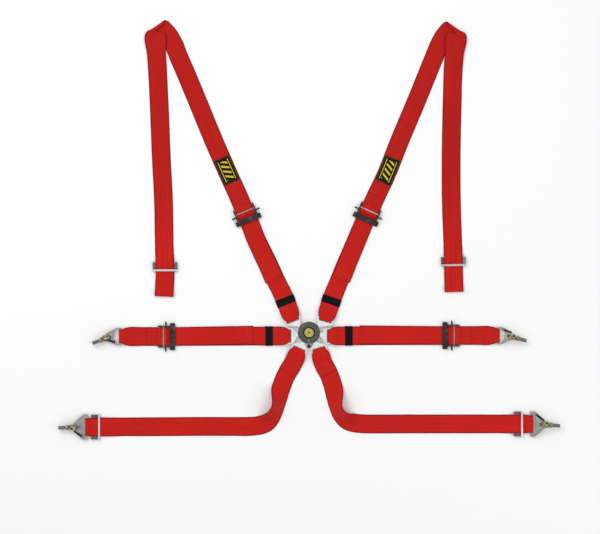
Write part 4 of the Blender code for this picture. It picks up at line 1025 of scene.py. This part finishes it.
def buildBuckle(materials):
    b = buckle
    edgedCopy("back_plate", "buckleBackPlate", "buckle", materials["zinc"], 0.5 * mm)
    edgedCopy("buckle_housing", "buckleHousing", "buckle", materials["chrome"], 0.35 * mm, 2)
    edgedCopy("centre_bolt", "centreBolt", "buckle", materials["zinc"], 0.3 * mm)
    edgedCopy("latch_plate", "latchPlate", "latch", materials["zinc"], 0.25 * mm, 2)
    for tongue in ("shoulder_left", "shoulder_right", "lap_left", "lap_right", "crotch_left", "crotch_right"):
        kind, side = tongue.split("_")
        body = "buckle" if tongue == "lap_left" else tongue
        edgedCopy("tongue_" + tongue, titled(kind, side) + "Tongue", body, materials["chrome"],
                  0.55 * mm)

    coil, box = latchSpring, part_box("latch_spring")
    bottom, top = box[0][2] + 0.35 * mm, box[1][2] - 0.35 * mm
    wire = bpy.data.curves.new("latchSpring", "CURVE")
    wire.dimensions = "3D"
    wire.bevel_depth = coil["wire"]
    wire.bevel_resolution = 3
    wire.use_fill_caps = True
    line = wire.splines.new("POLY")
    count = round(coil["turns"] * coil["sides"])
    line.points.add(count)
    for k, point in enumerate(line.points):
        turn = 2 * math.pi * k / coil["sides"]
        height = bottom + (top - bottom) * k / count
        point.co = (coil["radius"] * math.cos(turn), coil["radius"] * math.sin(turn), height, 1)
    wire.materials.append(materials["spring"])
    spring = bpy.data.objects.new("latchSpring", wire)
    bpy.context.scene.collection.objects.link(spring)
    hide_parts("latch_spring")
    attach(spring, "latch")

    outer, top, recess, floor = b["dialRadius"], b["dialTop"], b["recessRadius"], b["recessFloor"]
    profile = softCorners([
        (b["bore"], b["bossTop"]), (b["bossRadius"], b["bossTop"]), (b["bossRadius"], floor), (recess, floor),
        (recess, top - 0.8 * mm), (recess + 1.0 * mm, top), (outer - 7.5 * mm, top),
        (outer - 6.2 * mm, top - 0.45 * mm), (outer - 2.4 * mm, top - 1.3 * mm),
        (outer - 0.4 * mm, top - 3.0 * mm), (outer, top - 4.4 * mm),
        (outer, b["dialBottom"]), (b["skirt"], b["dialBottom"]),
        (b["skirt"] - 0.2 * mm, b["webTop"]), (b["bore"], b["webTop"])], 0.5 * mm)

    def scallop(radius, height, turn):
        # shallow finger grips round the rim
        share = min(max((radius - 23 * mm) / (5 * mm), 0), 1)
        wave = (0.5 - 0.5 * math.cos(b["grips"] * turn)) ** 2
        return 1 - b["gripDepth"] * share * wave if height > b["dialBottom"] + 1 * mm else 1

    dial = lathed("releaseDial", profile, 128, [materials["dial"], materials["recess"]], scallop,
                  lambda i: 1 if i < 14 else 0)
    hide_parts("release_dial")
    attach(dial, "dial")

    badge = b["badgeRadius"]
    raised = b["badgeTop"]
    profile = [(0, raised - 0.15 * mm), (3.4 * mm, raised - 0.15 * mm), (3.6 * mm, raised - 0.45 * mm),
               (4.6 * mm, raised - 0.45 * mm), (4.8 * mm, raised - 0.1 * mm), (8.6 * mm, raised - 0.1 * mm),
               (8.8 * mm, raised - 0.4 * mm), (9.6 * mm, raised - 0.4 * mm), (9.8 * mm, raised),
               (badge - 1.0 * mm, raised - 0.25 * mm), (badge, raised - 1.1 * mm), (badge, floor + 0.3 * mm),
               (0, floor + 0.3 * mm)]
    rings = softCorners(profile, 0.2 * mm)
    cap = lathed("centreBadge", rings, 72, [materials["badge"], materials["badgeGroove"]], None,
                 lambda i: 1 if rings[i + 1][0] < 4.8 * mm or 8.5 * mm < rings[i + 1][0] < 9.7 * mm else 0)
    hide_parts("centre_badge")
    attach(cap, "dial")
    edgedCopy("release_lever", "releaseLever", "dial", materials["lever"], 0.8 * mm, 4)


# lean lifts each eye's plane out of the floor, about the bolt's own line
eyeBolt = {
    "ring": 10.8 * mm, "wire": 3.2 * mm, "around": 64, "tube": 20,
    "collarFrom": 13.4 * mm, "collarThickness": 4.6 * mm, "collarRadius": 7.6 * mm,
    "shankRadius": 5.2 * mm, "shankEnd": 40 * mm, "threadPitch": 1.27 * mm, "threadDepth": 0.55 * mm,
    "lean": {"lap_left": 54, "lap_right": 64, "crotch_left": 58, "crotch_right": 62},
}


def buildEyeBolt(place, materials):
    e = eyeBolt
    joints = {j["name"]: j for j in frame["record"]["behaviour"]["joints"]}
    mounts = {m["name"]: m for m in frame["record"]["mounts"]}
    pivot = Vector(joints[place + "_eye_swing"]["pos_m"])
    ahead = Vector(mounts["anchor_" + place]["axis"])
    lean = -math.radians(e["lean"][place])
    level = Vector((-ahead.y, ahead.x, 0))
    side = level * math.cos(lean) + Vector((0, 0, math.sin(lean)))
    normal = level * -math.sin(lean) + Vector((0, 0, math.cos(lean)))
    centre = pivot + ahead * e["ring"]

    def world(x, y, z):
        return centre + ahead * x + side * y + normal * z

    bm = bmesh.new()
    rings = []
    for i in range(e["around"]):
        turn = 2 * math.pi * i / e["around"]
        # the forged ring thickens a little where it meets the collar
        wire = e["wire"] * (1 + 0.12 * max(math.cos(turn), 0) ** 3)
        ring = []
        for k in range(e["tube"]):
            a = 2 * math.pi * k / e["tube"]
            reach = e["ring"] + wire * math.cos(a)
            ring.append(bm.verts.new(world(reach * math.cos(turn), reach * math.sin(turn), wire * math.sin(a))))
        rings.append(ring)
    joinRings(bm, [*rings, rings[0]])

    def sleeve(stations, steps, index, radiusAt):
        loops = []
        for s in stations:
            loop = []
            for k in range(steps):
                turn = 2 * math.pi * k / steps
                reach = radiusAt(s, turn)
                loop.append(bm.verts.new(world(s, reach * math.cos(turn), reach * math.sin(turn))))
            loops.append(loop)
        joinRings(bm, loops, index)
        bm.faces.new(loops[0][::-1]).material_index = index
        bm.faces.new(loops[-1]).material_index = index

    begin, thick, radius = e["collarFrom"], e["collarThickness"], e["collarRadius"]
    shape = {begin - 2.6 * mm: 4.3 * mm, begin - 1.2 * mm: 4.7 * mm, begin - 0.2 * mm: 5.6 * mm, begin: 6.6 * mm,
             begin + 0.4 * mm: radius - 0.5 * mm, begin + 1.1 * mm: radius, begin + thick - 0.8 * mm: radius,
             begin + thick - 0.2 * mm: radius - 0.25 * mm, begin + thick: radius - 0.8 * mm}
    sleeve(list(shape), 32, 0, lambda s, turn: shape[s])
    first, last, plain = begin + thick - 0.5 * mm, e["shankEnd"], 2.0 * mm

    def threadAt(s, turn):
        phase = (s / e["threadPitch"] - turn / (2 * math.pi)) % 1
        groove = abs(phase - 0.5) * 2
        share = min(max((s - first - plain) / mm, 0), 1) * min(max((last - s) / (1.2 * mm), 0), 1)
        tip = 1 - 0.16 * min(max((s - last + 1.2 * mm) / (1.2 * mm), 0), 1)
        return (e["shankRadius"] - e["threadDepth"] * share * (1 - groove)) * tip

    sleeve(evenSteps(first, last, 0.21 * mm), 28, 1, threadAt)
    name = titled(*place.split("_")) + "EyeBolt"
    mesh = meshFrom(name, bm)
    mesh.shade_smooth()
    mesh.set_sharp_from_angle(angle=math.radians(50))
    made = linked(name, mesh, [materials["gold"], materials["shank"]])
    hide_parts("eye_bolt_" + place)
    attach(made, place + "_eye")


def cheekFaces(place):
    # true for a point outside the webbing's width, where a slide's two cheeks are; these faces get the painted
    # shade and dark reflection
    kind, side = place.split("_")
    at = (shoulders if kind == "shoulder" else crotches)[side]["slide"]
    across = 0 if kind == "shoulder" else 1
    return lambda point: abs(point[across] - at[across]) > strap["width"] / 2 + 0.9 * mm


def buildHardware(materials):
    for kind in ("shoulder", "lap"):
        for side in ("left", "right"):
            place, title = kind + "_" + side, titled(kind, side)
            for part, name, width in (("frame", "Frame", 0.6), ("grip", "Grip", 0.4)):
                body = place + ("_adjuster" if part == "frame" else "_grip")
                edgedCopy("adjuster_" + part + "_" + place, title + "Adjuster" + name, body,
                          materials["black"], width * mm)
    for kind in ("shoulder", "crotch"):
        for side in ("left", "right"):
            place = kind + "_" + side
            # the cheek faces take the painted shade and dark reflection colour
            edgedCopy("slide_" + place, titled(kind, side) + "Slide", place + "_slide",
                      materials["slide"], 0.8 * mm, 4, (materials["slideCheekPaintedShade"], cheekFaces(place)))
    for kind in ("lap", "crotch"):
        for side in ("left", "right"):
            place, title = kind + "_" + side, titled(kind, side)
            for part, name, width in (("snap_hook", "SnapHook", 0.55), ("latch_rivet", "LatchRivet", 0.3)):
                edgedCopy(part + "_" + place, title + name, place + "_hook", materials["zinc"],
                          width * mm)
            edgedCopy("hook_latch_" + place, title + "HookLatch", place + "_latch",
                      materials["latch"], 0.3 * mm, 2)
            buildEyeBolt(place, materials)


buildStudio()
finishes = buildMaterials()
print("stage: studio and finishes made")
for which in ("left", "right"):
    buildShoulder(which, finishes)
    buildLap(which, finishes)
    buildCrotch(which, finishes)
print("stage: straps woven")
buildBuckle(finishes)
print("stage: buckle made")
buildHardware(finishes)
print("stage: adjusters, slides, hooks and eye bolts made")

bpy.context.view_layer.update()
